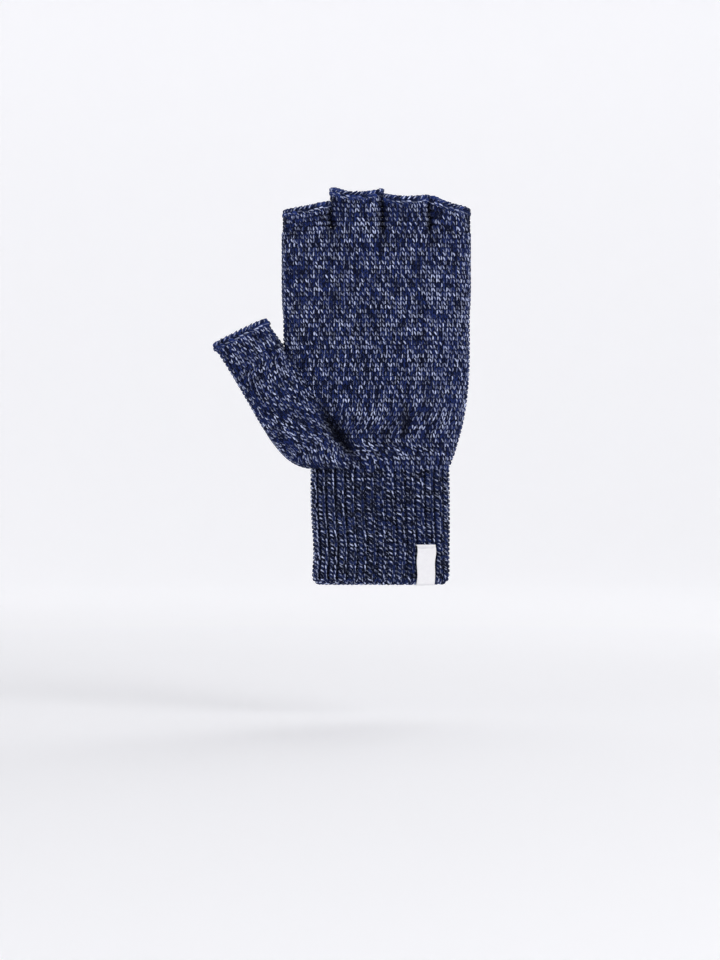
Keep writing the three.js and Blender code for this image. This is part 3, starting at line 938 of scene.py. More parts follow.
@dataclass
class Cuff:
    """The ribbed cuff, with its ribs rounding under the hem."""

    stitches: StitchMaker
    half_width: float = 36.7 * MM
    half_depth: float = 12.5 * MM
    length: float = 61.7 * MM
    tuck: float = 2.4 * MM
    tuck_height: float = 4.0 * MM
    turn_in: float = 1.5 * MM
    wall: float = 1.9 * MM
    ribs: int = 32
    courses: int = 27
    rib_width: float = 3.9 * MM
    rib_depth: float = 1.35 * MM
    purl_width: float = 1.5 * MM
    power: float = 2.7

    def ring_at(self, share: float, inset: float) -> Array:
        """The cuff's ring at a share of the way from under the hem to the cuff's top.

        Args:
            share: 0 under the hem and 1 at the top.
            inset: How far inside the outer surface.

        Returns:
            Its points.
        """
        run = share * (self.length + self.turn_in)
        height = max(0.25 * MM, run - self.turn_in)
        under = max(0.0, self.turn_in - run)
        tuck = self.tuck * max(0.0, 1 - height / self.tuck_height) ** 2
        pull = 0.5 * MM * math.sin(math.pi * min(1.0, height / self.length))
        wide = self.half_width - tuck - under - inset + pull * 0.4
        ring = flat_ring(wide, self.half_depth - tuck / 2 - under - inset, self.power)
        ring[:, 2] = height + min(inset, 1.2 * MM) * max(0.0, 1 - height / self.tuck_height)
        slim = 1.5 * MM * math.exp(-(((height - 18 * MM) / (17 * MM)) ** 2))
        ring[:, 0] += np.clip(-ring[:, 0] / self.half_width, 0.0, 1.0) * slim
        return ring

    def furrowed(self, share: float, inset: float) -> Array:
        """The same ring, with a furrow between each pair of ribs."""
        shares = np.arange(320) / 320
        depth = self.rib_depth * min(1.0, 0.45 + (1 - share) * 4, 0.35 + share * 8)
        crest = at_shares(self.ring_at(share, inset), shares)
        floor = at_shares(self.ring_at(share, inset + depth), shares)
        dip = (0.5 - 0.5 * np.cos(shares * self.ribs * 2 * math.pi)) ** 1.3
        return crest + (floor - crest) * dip[:, None]

    def build(self) -> None:
        """Makes the cuff and the roll of its hem, and puts them on the glove."""
        tube = KnitTube("cuff", self.ring_at, self.length + self.turn_in, self.ribs, self.courses)
        field_ = tube.stitches()
        field_.widen(self.rib_width)
        ribs = self.stitches.knit("cuff_ribs", field_, Leg.RIB, Finish.RIB, 6.0)
        purls = KnitTube(
            "purl", lambda share, inset: self.ring_at(share, inset + self.rib_depth * 0.95),
            self.length + self.turn_in, self.ribs, self.courses)
        bumps = purls.stitches(0.5)
        bumps.widen(self.purl_width)
        furrows = self.stitches.knit("cuff_furrows", bumps, Leg.PURL, Finish.RIB, 20.0)
        hem = self._hem_chain()
        shares = np.arange(320) / 320
        chart_wales = np.append(shares, 1.0) * self.ribs * 2
        rings, chart = [], []
        for share in np.linspace(0.0, 1.02, 30):
            rings.append(self.furrowed(share, 0.75 * MM))
            chart.append(np.column_stack([chart_wales, np.full(321, share * self.courses)]))
        for share in np.linspace(1.02, 0.05, 24):
            rings.append(at_shares(self.ring_at(share, self.wall + 0.5 * MM), shares))
            chart.append(np.column_stack([chart_wales, np.full(321, share * self.courses)]))
        fabric = wall_piece("cuff_fabric", rings, chart, Finish.INSIDE)
        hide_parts("rib_cuff")
        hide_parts("cast_on_edge")
        rides("glove", "rib_knit", ribs, furrows, fabric)
        rides("glove", "edge_yarn", hem)

    def _hem_chain(self) -> bpy.types.Object:
        """Knits the cast-on chain that lies under the hem and up its front."""
        field_ = StitchField()
        for share, lift, out_tip, width in ((0.03, 0.0, -0.5, 3.0), (0.0, 0.35, -2.5, 2.6)):
            ring = self.ring_at(share, 0.45 * MM)
            ring[:, 2] += lift * MM
            total = closed_length(ring)[-1]
            count = 2 * self.ribs
            shares = (np.arange(count) + 0.5) / count
            along = at_shares(ring, shares + 0.003) - at_shares(ring, shares - 0.003)
            outs = unit(np.cross(along, np.array([0.0, 0.0, 1.0]))) + np.array([0.0, 0.0, out_tip])
            field_.add(at_shares(ring, shares), along, outs, width * MM, total / count)
        return self.stitches.knit("hem_chain", field_, Leg.CHAIN, Finish.EDGE)


# --------------------------------------------------------------------- hand and thumb


@dataclass
class Gusset:
    """The crease where the thumb leaves the palm, the groove that it makes, and the painted shade along
    it.
    """

    crotch: tuple[float, float] = (-51.75 * MM, 128.0 * MM)
    lean: float = math.radians(32.0)
    width: float = 2.6 * MM
    depth: float = 4.2 * MM
    pit: float = 3.6 * MM
    bulge: float = 1.4 * MM
    pit_shape: tuple[float, float, float] = (79.0, 8.0, 3.4)
    pit_shade: tuple[float, float, float] = (80.0, 9.0, 4.4)
    shade_width: float = 2.4 * MM
    shade_profile: tuple[tuple[float, ...], ...] = (
        (62, 69, 74, 84, 95, 106, 122, 128, 133), (0.0, 0.3, 0.85, 0.85, 0.3, 0.12, 0.2, 0.4, 0.0),
    )
    depth_profile: tuple[tuple[float, ...], ...] = (
        (62, 68, 75, 87, 97, 110, 128, 134), (0.0, 0.55, 1.0, 0.95, 0.5, 0.28, 0.5, 0.0),
    )

    def beside(self, points: Array) -> Array:
        """Each point's distance from the crease's plane, more than 0 on the palm's side."""
        across = (points[:, 0] - self.crotch[0]) * math.cos(self.lean)
        return across + (points[:, 2] - self.crotch[1]) * math.sin(self.lean)

    def painted_shade(self, points: Array) -> Array:
        """Painted shade for each point, growing with how deep in the crease it lies, from 0 to about 1.
        """
        height = points[:, 2] / MM
        deep = np.interp(height, *self.shade_profile)
        pit = 0.85 * self._pit_share(points, *self.pit_shade)
        return deep * np.exp(-((self.beside(points) / self.shade_width) ** 2)) + pit

    def _pit_share(self, points: Array, middle: float, reach: float, width: float) -> Array:
        """How far into the pit at the crease's foot points lie, from 0 to 1.

        Args:
            points: The points.
            middle: The height of its middle, in millimetres.
            reach: How far it reaches up and down, in millimetres.
            width: How far it reaches to each side, in millimetres.

        Returns:
            One number for each point.
        """
        across = (self.beside(points) + MM) / (width * MM)
        return np.exp(-(across**2) - ((points[:, 2] / MM - middle) / reach) ** 2)

    def pressed(self, points: Array) -> Array:
        """Points pressed into the groove along the crease.

        Args:
            points: Points on the hand or the thumb.

        Returns:
            The same points, those near the crease moved inwards.
        """
        height = points[:, 2] / MM
        deep = np.interp(height, *self.depth_profile)
        beside = self.beside(points)
        width = np.where(beside > 0, self.width, self.width * 1.35)
        dent = self.depth * deep * np.exp(-((beside / width) ** 2))
        swell = np.exp(-(((beside + 9 * MM) / (6 * MM)) ** 2))
        swell = swell + 0.7 * np.exp(-(((beside - 6 * MM) / (3 * MM)) ** 2))
        dent += self.pit * self._pit_share(points, *self.pit_shape)
        dent -= self.bulge * deep * swell * (np.abs(points[:, 1]) > 4 * MM)
        pressed = points.copy()
        pressed[:, 1] -= np.sign(points[:, 1]) * np.minimum(dent, np.abs(points[:, 1]) * 0.8)
        return pressed


@dataclass
class Hand:
    """The palm and the back of the hand, from the cuff to the knuckles."""

    stitches: StitchMaker
    gusset: Gusset
    low: float = 62.0 * MM
    length: float = 128.0 * MM
    wales: int = 80
    courses: int = 54
    rib_courses: int = 5
    power: float = 2.7
    flare_share: float = 0.5
    flare_power: float = 2.4
    left: tuple[float, float] = (-37.5 * MM, -51.75 * MM)
    right: tuple[float, float] = (36.7 * MM, 47.95 * MM)
    finger_gaps: tuple[float, ...] = (-26.4 * MM, 1.3 * MM, 26.6 * MM)
    ribs: int = 32
    overlap: float = 0.9 * MM
    stitch_overlap: float = 0.3 * MM
    folds: tuple[tuple[float, ...], ...] = (
        (13.5, 87.0, 9.0, 2.8, 2.1), (2.7, 77.0, 7.0, 2.6, 1.5), (24.0, 76.0, 9.0, 2.2, 0.8),
        (-10.0, 83.0, 9.0, 2.6, -1.2), (7.5, 84.0, 10.0, 2.6, -0.7),
    )

    def middle_and_halves(self, height: float) -> tuple[float, float, float]:
        """The ring's middle, half width and half depth at a height."""
        share = min(max((height - self.low) / self.length, 0.0), 1.0)
        flare = 1 - max(0.0, 1 - share / self.flare_share) ** self.flare_power
        left = self.left[0] + (self.left[1] - self.left[0]) * flare
        right = self.right[0] + (self.right[1] - self.right[0]) * flare
        swell = 2 * MM * math.sin(math.pi * min(1.0, share * 1.25))
        depth = (25 - 0.6 * share) * MM + swell
        return (left + right) / 2, (right - left) / 2, depth / 2

    def ring_at(self, share: float, inset: float) -> Array:
        """The hand's ring at a share of the way up from the cuff.

        Args:
            share: 0 at the cuff and 1 at the knuckles.
            inset: How far inside the outer surface.

        Returns:
            Its points.
        """
        height = self.low - 0.8 * MM + share * (self.length + 0.5 * MM)
        middle, half_width, half_depth = self.middle_and_halves(height)
        ring = flat_ring(half_width - inset, half_depth - inset, self.power, 320)
        ring[:, 0] += middle
        ring[:, 2] = height
        ring = self.gusset.pressed(ring)
        ring = self._gathered(ring, height / MM)
        rise = float(np.interp(height / MM, [172, 190], [0.0, 1.0])) ** 2
        for gap in self.finger_gaps:
            dent = 1.3 * MM * rise * np.exp(-(((ring[:, 0] - gap) / (1.9 * MM)) ** 2))
            ring[:, 1] -= np.sign(ring[:, 1]) * dent
        puff = 0.35 * MM * unevenness(ring, 19 * MM) * min(1.0, share * 8)
        ring[:, 1] += np.sign(ring[:, 1]) * puff
        return ring

    def _gathered(self, ring: Array, height: float) -> Array:
        """The ring with the ribs running out into it, and the folds that they draw.

        Args:
            ring: A ring of the hand.
            height: Its height in millimetres.

        Returns:
            The ring, pressed in along the furrows.
        """
        runs = closed_length(ring)
        shares = runs[:-1] / runs[-1]
        fade = max(0.0, 1 - (height - 62) / 16) ** 1.4
        dip = 0.75 * MM * fade * (0.5 - 0.5 * np.cos(shares * self.ribs * 2 * math.pi))
        for x, middle, reach, width, depth in self.folds:
            near = np.exp(-(((ring[:, 0] / MM - x - 0.12 * (height - middle)) / width) ** 2))
            dip += depth * MM * near * math.exp(-(((height - middle) / reach) ** 2))
        gathered = ring.copy()
        gathered[:, 1] -= np.sign(ring[:, 1]) * np.minimum(dip, np.abs(ring[:, 1]) * 0.6)
        return gathered

    def painted_shade(self, points: Array) -> Array:
        """Painted shade for each point, growing with how deep in a fold or between the fingers it lies,
        from 0 to 0.8.
        """
        height, x = points[:, 2] / MM, points[:, 0] / MM
        deep = self.gusset.painted_shade(points)
        for fold_x, middle, reach, width, depth in self.folds:
            beside = (x - fold_x - 0.12 * (height - middle)) / width
            deep += 0.42 * max(0.0, depth) * np.exp(-(beside**2) - ((height - middle) / reach) ** 2)
        for gap in self.finger_gaps:
            beside = (x - gap / MM) / 2.0
            deep += 0.75 * np.exp(-(beside**2)) * np.clip((height - 176) / 12, 0.0, 1.0)
        return np.clip(deep, 0.0, 0.8)

    def surface_depth(self, places: Array, inset: float) -> Array:
        """Half the hand's depth at places, and 0 outside it.

        Args:
            places: Points of the XZ plane.
            inset: How far inside the outer surface.

        Returns:
            One number for each place.
        """
        depths = []
        for x, _, z in places:
            middle, half_width, half_depth = self.middle_and_halves(z)
            across = abs(x - middle) / (half_width - inset)
            rest = max(0.0, 1 - across**self.power)
            depths.append((half_depth - inset) * rest ** (1 / self.power))
        return np.array(depths)

    def build(self) -> None:
        """Knits the hand up to the thumb's crease, and puts it on the glove."""
        tube = KnitTube("hand", self.ring_at, self.length, self.wales, self.courses)
        field_ = tube.stitches(0.5, range(self.rib_courses, self.courses))
        self._run_out_ribs(field_)
        field_.painted_shade = self.painted_shade
        field_ = field_.kept(lambda points: self.gusset.beside(points) > -self.stitch_overlap)
        front = field_.kept(lambda points: points[:, 1] < 0)
        back = field_.kept(lambda points: points[:, 1] >= 0)
        pieces = [
            self.stitches.knit("hand_front_knit", front, Leg.PLAIN, Finish.KNIT),
            self.stitches.knit("hand_back_knit", back, Leg.PLAIN, Finish.KNIT),
        ]
        fabric = tube.fabric(48)
        self._cut_thumb_hole(fabric)
        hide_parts("hand_tube")
        rides("glove", "marl_knit", *pieces, fabric)

    def _run_out_ribs(self, field_: StitchField) -> None:
        """Adds the first courses, where each rib and each furrow runs on as a wale."""
        tube = KnitTube("hand_start", self.ring_at, self.length, 2 * self.ribs, self.courses)
        for row in range(self.rib_courses):
            start = tube.stitches(0.0, range(row, row + 1))
            places, ways, outs, gauges = start.merged()
            even = 0.25 * (1 - row / self.rib_courses)
            share = np.where(np.arange(len(places)) % 2 == 0, 1 + even, 1 - even)
            field_.add(places, ways, outs, gauges[:, 0] * share, gauges[:, 1])

    def _cut_thumb_hole(self, fabric: bpy.types.Object) -> None:
        """Cuts the wall along the crease and closes the cut."""
        mesh = bmesh.new()
        mesh.from_mesh(fabric.data)
        lean = self.gusset.lean
        geometry = [*mesh.verts, *mesh.edges, *mesh.faces]
        bmesh.ops.bisect_plane(
            mesh, geom=geometry, dist=1e-6, clear_inner=True,
            plane_co=(self.gusset.crotch[0] - self.overlap, 0.0, self.gusset.crotch[1]),
            plane_no=(math.cos(lean), 0.0, math.sin(lean)))
        open_edges = [edge for edge in mesh.edges if edge.is_boundary]
        bmesh.ops.holes_fill(mesh, edges=open_edges, sides=0)
        mesh.to_mesh(fabric.data)
        mesh.free()


@dataclass
class Thumb:
    """The thumb's tube, which grows out of the palm beside the crease."""

    stitches: StitchMaker
    gusset: Gusset
    hand: Hand
    base_depth: float = 25.0 * MM
    tip_depth: float = 20.0 * MM
    tip_right: tuple[float, float] = (-61.6 * MM, 142.0 * MM)
    tip_left: tuple[float, float] = (-89.5 * MM, 128.5 * MM)
    crease_length: float = 77.8 * MM
    heel_rise: float = 22.0 * MM
    rim_height: float = 4.2 * MM
    courses: int = 38
    wale: float = 2.8 * MM
    power: float = 2.7
    profile_points: int = 193

    @property
    def axis(self) -> Array:
        """The way the thumb's opening faces."""
        lean = math.radians(25.8)
        return np.array([-math.sin(lean), 0.0, math.cos(lean)])

    def outer_side(self, share: float) -> Array:
        """A point of the silhouette from the cuff's corner, round the heel, to the tip."""
        tip = np.array([self.tip_left[0], 0.0, self.tip_left[1]])
        corner = np.array([-37.5 * MM, 0.0, 62.0 * MM])
        rise = self.heel_rise
        share = math.copysign(abs(share) ** 0.82, share)
        first = corner + np.array([-20 * MM, 0.0, rise * 0.1])
        second = tip - 2.2 * rise * self.axis + np.array([5 * MM, 0.0, 4 * MM])
        rest = 1 - share
        return (
            rest**3 * corner + 3 * rest**2 * share * first
            + 3 * rest * share**2 * second + share**3 * tip
        )

    def inner_side(self, share: float) -> Array:
        """A point of the edge that runs up the crease and on to the tip."""
        crotch = np.array([self.gusset.crotch[0], 0.0, self.gusset.crotch[1]])
        lean = self.gusset.lean
        base = crotch - self.crease_length * np.array([-math.sin(lean), 0.0, math.cos(lean)])
        tip = np.array([self.tip_right[0], 0.0, self.tip_right[1]])
        line = np.stack([base, crotch, tip])
        steps = np.linalg.norm(np.diff(line, axis=0), axis=1)
        return along_line(line, np.array([share * steps.sum()]))[0]

    def profile(self, share: float, inset: float) -> Array:
        """The open line across the front, round the outer edge and back across the back.

        Args:
            share: 0 at the cuff and 1 at the opening.
            inset: How far inside the outer surface.

        Returns:
            Its points, from the crease's front to its back.
        """
        left, right = self.outer_side(share), self.inner_side(share)
        middle, across = (left + right) / 2, right - left
        width = np.linalg.norm(across)
        across = across / width
        angles = np.linspace(0.0, 2 * math.pi, self.profile_points)
        places = middle + (width / 2 - inset) * squared(np.cos(angles), self.power)[:, None] * across
        depth = (self.base_depth + (self.tip_depth - self.base_depth) * share) / 2 - inset
        own = depth * np.abs(squared(np.sin(angles), self.power))
        palm = self.hand.surface_depth(places, inset)
        reach = (own**5 + palm**5) ** 0.2
        side = np.where(np.arange(self.profile_points) <= self.profile_points // 2, -1.0, 1.0)
        places[:, 1] = side * reach
        drop = (self.rim_height - 0.7 * MM) * share**3
        places = places - self.axis * drop
        return self.gusset.pressed(places)

    def build(self) -> None:
        """Knits the thumb and its rim, and puts them on the glove."""
        field_ = StitchField()
        half = self.profile_points // 2
        course = 92 * MM / self.courses
        for row in range(self.courses):
            share = (row + 0.5) / self.courses
            lines = [self.profile(share + step, 0.0) for step in (-0.015, 0.0, 0.015)]
            for front in (True, False):
                below, line, above = (
                    rows[: half + 1] if front else rows[half:][::-1] for rows in lines)
                length = np.linalg.norm(np.diff(line, axis=0), axis=1).sum()
                spots = np.arange(0.3 * self.wale, length - 0.2 * self.wale, self.wale)
                places = along_line(line, spots)
                ways = along_line(above, spots) - along_line(below, spots)
                ahead = along_line(line, spots + 0.3 * MM) - along_line(line, spots - 0.3 * MM)
                outs = np.cross(ways, ahead) * (1.0 if front else -1.0)
                field_.add(places, ways, outs, self.wale, course)
        field_.painted_shade = self.painted_shade
        knit = self.stitches.knit("thumb_knit", field_, Leg.LEANING, Finish.KNIT)
        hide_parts("thumb_tube")
        fabric = self._fabric()
        rides("glove", "marl_knit", knit, fabric)
        Rim("thumb", self.stitches, self._rim_ring).build()

    def painted_shade(self, points: Array) -> Array:
        """Painted shade for each point, growing with how deep in the crease, or in the corner over the
        cuff, it lies.
        """
        over_cuff = np.exp(-(((points[:, 2] / MM - 62) / 3.2) ** 2))
        return np.clip(self.gusset.painted_shade(points) + 0.5 * over_cuff, 0.0, 0.9)

    def _fabric(self, levels: int = 30) -> bpy.types.Object:
        """Makes the closed wall behind the thumb's stitches."""
        size = self.profile_points
        grid = []
        for share in np.linspace(0.0, 1.0, levels):
            outer, inner = self.profile(share, 0.6 * MM), self.profile(share, 2.2 * MM)
            grid.append(np.concatenate([outer, inner[::-1]]))
        points = np.concatenate(grid)
        around = 2 * size
        faces, corners = [], []
        for low in range(levels - 1):
            for i in range(around):
                j = (i + 1) % around
                a, b = low * around, (low + 1) * around
                faces.append((a + j, a + i, b + i, b + j))
                u, v = i / around * 60, (i + 1) / around * 60
                corners += [(v, low), (u, low), (u, low + 1), (v, low + 1)]
        for level, flip in ((0, False), (levels - 1, True)):
            start = level * around
            for i in range(size - 1):
                quad = (start + i, start + i + 1, start + around - 2 - i, start + around - 1 - i)
                faces.append(quad[::-1] if flip else quad)
                corners += [(0.0, 0.0)] * 4
        fabric = mesh_piece("thumb_fabric", points, faces, Finish.INSIDE)
        add_map(fabric.data, "chart", corners)
        return fabric

    def _rim_ring(self, height: float, grow: float) -> Array:
        """The ring of the thumb's rim at a height over its foot, grown outwards."""
        left, right = (np.array([x, 0.0, z]) for x, z in (self.tip_left, self.tip_right))
        middle, across = (left + right) / 2, unit(right - left)
        ring = flat_ring(np.linalg.norm(right - left) / 2 + grow, self.tip_depth / 2 + grow, self.power)
        lifted = middle + (height - self.rim_height) * self.axis
        return lifted + ring[:, :1] * across + ring[:, 1:2] * np.array([0.0, 1.0, 0.0])


# -------------------------------------------------------------------- fingers and rims


@dataclass
class Rim:
    """A rolled, bound-off edge: a chain that lies round the top of a tube."""

    name: str
    stitches: StitchMaker
    ring: Callable[[float, float], Array]
    height: float = 4.2 * MM
    wall: float = 2.3 * MM
    link: float = 2.9 * MM

    def build(self) -> None:
        """Makes the rim and puts it on the glove."""
        field_ = StitchField()
        rows = ((0.7, 0.45, 0.35, 3.9), (0.18, 0.0, -0.1, 2.4))
        for row, (level, grow, tip, width) in enumerate(rows):
            ring = self.ring(level * self.height, grow * MM)
            length = closed_length(ring)[-1]
            count = round(length / self.link)
            shares = (np.arange(count) + 0.5 * row) / count
            places = at_shares(ring, shares)
            along = at_shares(ring, shares + 0.004) - at_shares(ring, shares - 0.004)
            lift = at_shares(self.ring(level * self.height + MM, grow * MM), shares) - places
            outs = unit(np.cross(along, lift)) + tip * unit(lift)
            if row == 0:
                field_.add(places, along, outs, width * MM, length / count)
            else:
                field_.add(places, lift, outs, length / count, width * MM)
        inner = self.ring(0.8 * self.height, -self.wall)
        length = closed_length(inner)[-1]
        count = round(length / self.link)
        shares = np.arange(count) / count
        lift = at_shares(self.ring(0.9 * self.height, -self.wall), shares) - at_shares(inner, shares)
        along = at_shares(inner, shares + 0.004) - at_shares(inner, shares - 0.004)
        field_.add(at_shares(inner, shares), along, np.cross(lift, along), 2.6 * MM, length / count)
        chain = self.stitches.knit(self.name + "_rim_chain", field_, Leg.CHAIN, Finish.EDGE, 6.0)
        shares = np.arange(120) / 120
        wales = np.append(shares, 1.0) * 34
        rings, chart = [], []
        for turn in np.linspace(-0.5, 1.5, 15)[:-1] * math.pi:
            rise = 0.5 + 0.42 * math.sin(turn)
            grow = -self.wall / 2 + (self.wall / 2 - 0.45 * MM) * math.cos(turn)
            rings.append(at_shares(self.ring(rise * self.height, grow), shares))
            chart.append(np.column_stack([wales, np.full(121, rise * 2)]))
        roll = wall_piece(self.name + "_rim_roll", rings, chart, Finish.INSIDE)
        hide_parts(self.name + "_rim")
        rides("glove", "edge_yarn", chain, roll)


@dataclass
class Finger:
    """One finger's short stub, and the height of its opening from side to side."""

    name: str
    middle: float
    width: float
    left: float
    right: float
    dip: float
    flare: float = 0.2 * MM
    knuckle: float = 190.0 * MM
    base_depth: float = 24.4 * MM
    top_depth: float = 21.0 * MM
    rim_height: float = 4.2 * MM

    def opening(self, x: Array) -> Array:
        """The height of the opening's edge at places across the finger."""
        across = (x - self.middle) / (self.width / 2)
        slope = self.left + (self.right - self.left) * (across + 1) / 2
        return self.knuckle + slope - self.dip * (1 - across**2)

    def ring_at(self, share: float, inset: float) -> Array:
        """The stub's ring at a share of the way from the knuckle to its rim."""
        depth = (self.base_depth + (self.top_depth - self.base_depth) * share) / 2
        ring = flat_ring(self.width / 2 + 0.25 * MM - inset, depth - inset, 2.7 - 0.35 * share)
        ring[:, 0] += self.middle
        foot = self.knuckle - 1.0 * MM
        top = self.opening(ring[:, 0]) - self.rim_height + 0.7 * MM
        ring[:, 2] = foot + (top - foot) * share
        return ring

    def rim_ring(self, height: float, grow: float) -> Array:
        """The rim's ring at a height over its foot, grown outwards."""
        side = min(grow, 0.1 * MM) + self.flare * max(0.0, height / self.rim_height) ** 2
        ring = flat_ring(self.width / 2 + side, self.top_depth / 2 + grow, 2.4)
        ring[:, 0] += self.middle
        ring[:, 2] = self.opening(ring[:, 0]) - self.rim_height + height
        return ring

    def painted_shade(self, points: Array) -> Array:
        """Painted shade for each point, growing with how deep in the furrow beside its neighbours it
        lies, from 0 to 0.75.
        """
        inside = self.width / 2 - np.abs(points[:, 0] - self.middle)
        return 0.75 * np.exp(-np.clip(inside / (1.7 * MM), 0.0, None) ** 2)

    def build(self, stitches: StitchMaker) -> None:
        """Knits the stub and its rim, and puts them on the glove."""
        height = (self.left + self.right) / 2 - self.dip / 2 - self.rim_height
        ring = self.ring_at(0.5, 0.0)
        wales = round(closed_length(ring)[-1] / (2.75 * MM))
        tube = KnitTube(self.name, self.ring_at, height, wales, max(3, round(height / (2.35 * MM))))
        field_ = tube.stitches(0.5)
        field_.painted_shade = self.painted_shade
        knit = stitches.knit(self.name + "_knit", field_, Leg.PLAIN, Finish.KNIT)
        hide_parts(self.name + "_stub")
        rides("glove", "marl_knit", knit, tube.fabric(10))
        Rim(self.name, stitches, self.rim_ring).build()


# -------------------------------------------------------------------------------- cap


@dataclass
class Cap:
    """The flip-top cap: one flat pocket that hangs folded back behind the knuckles."""

    stitches: StitchMaker
    middle: tuple[float, float] = (-1.9 * MM, 19.3 * MM)
    half_width: float = 51.6 * MM
    half_depth: float = 5.0 * MM
    hinge: float = 192.0 * MM
    length: float = 95.0 * MM
    straight: float = 30.0 * MM
    tip_power: float = 2.4
    edge_power: float = 2.7
    top: float = 190.6 * MM
    wale: float = 2.8 * MM
    course: float = 2.35 * MM
    side_wale: float = 1.25 * MM
    side_reach: float = 6.0 * MM
    band: float = 10.0 * MM
    rib_width: float = 4.1 * MM
    wall: float = 1.2 * MM

    def half_width_at(self, down: float) -> float:
        """Half the cap's width at a distance below the hinge."""
        past = min(max((down - self.straight) / (self.length - self.straight), 0.0), 0.995)
        return self.half_width * (1 - past**self.tip_power) ** (1 / self.tip_power)

    def mouth(self, x: Array, y: Array) -> Array:
        """The height of the mouth's edge, arched along the front panel."""
        across = np.minimum(1.0, np.abs(x - self.middle[0]) / self.half_width)
        arched = self.hinge - 4.5 * MM + 6 * MM * across**2.6
        share = np.clip((y - self.middle[1]) / (1.5 * MM) + 0.5, 0.0, 1.0)
        return self.top + (np.minimum(arched, self.top) - self.top) * share

    def ring_below(self, below: float, inset: float) -> Array:
        """The pocket's ring at a distance below its mouth.

        Args:
            below: The distance below the mouth's edge.
            inset: How far inside the outer surface.

        Returns:
            Its points, from the middle of the front panel.
        """
        lowest = self.hinge - self.length
        drop = min(below, self.top - lowest)
        half_width = self.half_width_at(self.hinge - self.top + drop) - inset
        left = self.top - lowest - drop
        thin = min(1.0, 0.62 + 0.38 * left / (9 * MM))
        ring = flat_ring(max(half_width, 3 * MM), (self.half_depth - inset) * thin, self.edge_power, 400)
        ring[:, 0] += self.middle[0]
        ring[:, 1] += self.middle[1]
        sag = (self.top - self.mouth(ring[:, 0], ring[:, 1])) * max(0.0, 1 - drop / (70 * MM))
        ring[:, 2] = self.top - drop - sag + inset * max(0.0, 1 - left / (4 * MM))
        return ring

    def build(self) -> None:
        """Knits the pocket and its mouth's band."""
        knit, band = StitchField(), StitchField()
        rows = int((self.top - (self.hinge - self.length)) / self.course)
        for row in range(rows):
            below = (row + 0.5) * self.course
            ring = self.ring_below(below, 0.0)
            above, under = (self.ring_below(below + step, 0.0) for step in (-0.6 * MM, 0.6 * MM))
            total = closed_length(ring)[-1]
            flat = total / 4 - self.side_reach
            count = max(0, int(flat / self.wale))
            ribbed = below < self.band
            middle_spots = (np.arange(-count, count) + 0.5) * self.wale
            edge = count * self.wale
            side_count = max(2, int((total / 2 - 2 * edge) / self.side_wale))
            side_spots = edge + (np.arange(side_count) + 0.5) * (total / 2 - 2 * edge) / side_count
            pair_count = max(0, int(edge / (2 * self.wale)))
            rib_spots = (np.arange(-pair_count, pair_count) + 0.5) * 2 * self.wale
            groups = [
                (band, rib_spots, self.rib_width) if ribbed else (knit, middle_spots, self.wale),
                (knit, side_spots, self.side_wale), (knit, side_spots + total / 2, self.side_wale),
                (knit, middle_spots + total / 2, self.wale),
            ]
            for target, spots, wale in groups:
                if not len(spots):
                    continue
                shares = spots / total
                places = at_shares(ring, shares)
                ways = at_shares(under, shares) - at_shares(above, shares)
                along = at_shares(ring, shares + 0.002) - at_shares(ring, shares - 0.002)
                target.add(places, ways, np.cross(ways, along), wale, self.course)
        self._close_tip(knit)
        pocket_knit = self.stitches.knit("cap_knit", knit, Leg.PLAIN, Finish.KNIT)
        band_knit = self.stitches.knit("cap_band_ribs", band, Leg.RIB, Finish.RIB)
        edge = self._mouth_chain()
        fabric = self._fabric()
        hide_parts("cap_back_panel", "cap_front_panel")
        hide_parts("cap_mouth_band")
        dressed = (
            (pocket_knit, "marl_knit"), (band_knit, "rib_knit"), (edge, "edge_yarn"),
            (fabric, "marl_knit"),
        )
        for piece, slot in dressed:
            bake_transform(piece)
            faces = len(piece.data.polygons)
            LOG.info("%s: %d faces bend from cap_back to cap_front", piece.name, faces)

    def _close_tip(self, knit: StitchField) -> None:
        """Adds the stitches that draw the pocket's round end together."""
        x = np.arange(-3.0, 4.0) * 2.4 * MM
        for y in (-1.7 * MM, 0.0, 1.7 * MM):
            level = np.full(len(x), self.hinge - self.length + 0.15 * MM)
            places = np.column_stack([self.middle[0] + x, np.full(len(x), self.middle[1] + y), level])
            ways, outs = (np.tile(way, (len(x), 1)) for way in ([1.0, 0.0, 0.0], [0.0, 0.0, -1.0]))
            knit.add(places, ways, outs, 1.9 * MM, 2.4 * MM)

    def _mouth_chain(self) -> bpy.types.Object:
        """Knits the chain that binds off the mouth's edge, up to the side seams."""
        ring = self.ring_below(0.0, self.wall / 2)
        total = closed_length(ring)[-1]
        count = round(total / (2.7 * MM))
        shares = np.arange(count) / count
        beside = np.abs(at_shares(ring, shares)[:, 0] - self.middle[0])
        shares = shares[beside < self.half_width - 5.5 * MM]
        places = at_shares(ring, shares)
        along = at_shares(ring, shares + 0.002) - at_shares(ring, shares - 0.002)
        field_ = StitchField()
        upward = np.tile([0.0, 0.0, 1.0], (len(shares), 1))
        field_.add(places, along, upward, 2.7 * MM, total / count)
        return self.stitches.knit("cap_mouth_chain", field_, Leg.CHAIN, Finish.EDGE)

    def _fabric(self, levels: int = 40) -> bpy.types.Object:
        """Makes the closed pocket behind the cap's stitches."""
        shares = np.arange(200) / 200
        wales = np.append(shares, 1.0) * 74
        depth = self.top - (self.hinge - self.length)
        rings, chart = [], []
        eased = np.sin(np.linspace(0.0, 1.0, levels) * math.pi / 2)
        for inset, order in ((0.55 * MM, -1), (self.wall, 1)):
            for share in eased[::order]:
                rings.append(at_shares(self.ring_below(share * (depth - inset), inset), shares))
                chart.append(np.column_stack([wales, np.full(201, -share * depth / self.course)]))
        return open_wall("cap_fabric", rings, chart, Finish.INSIDE)


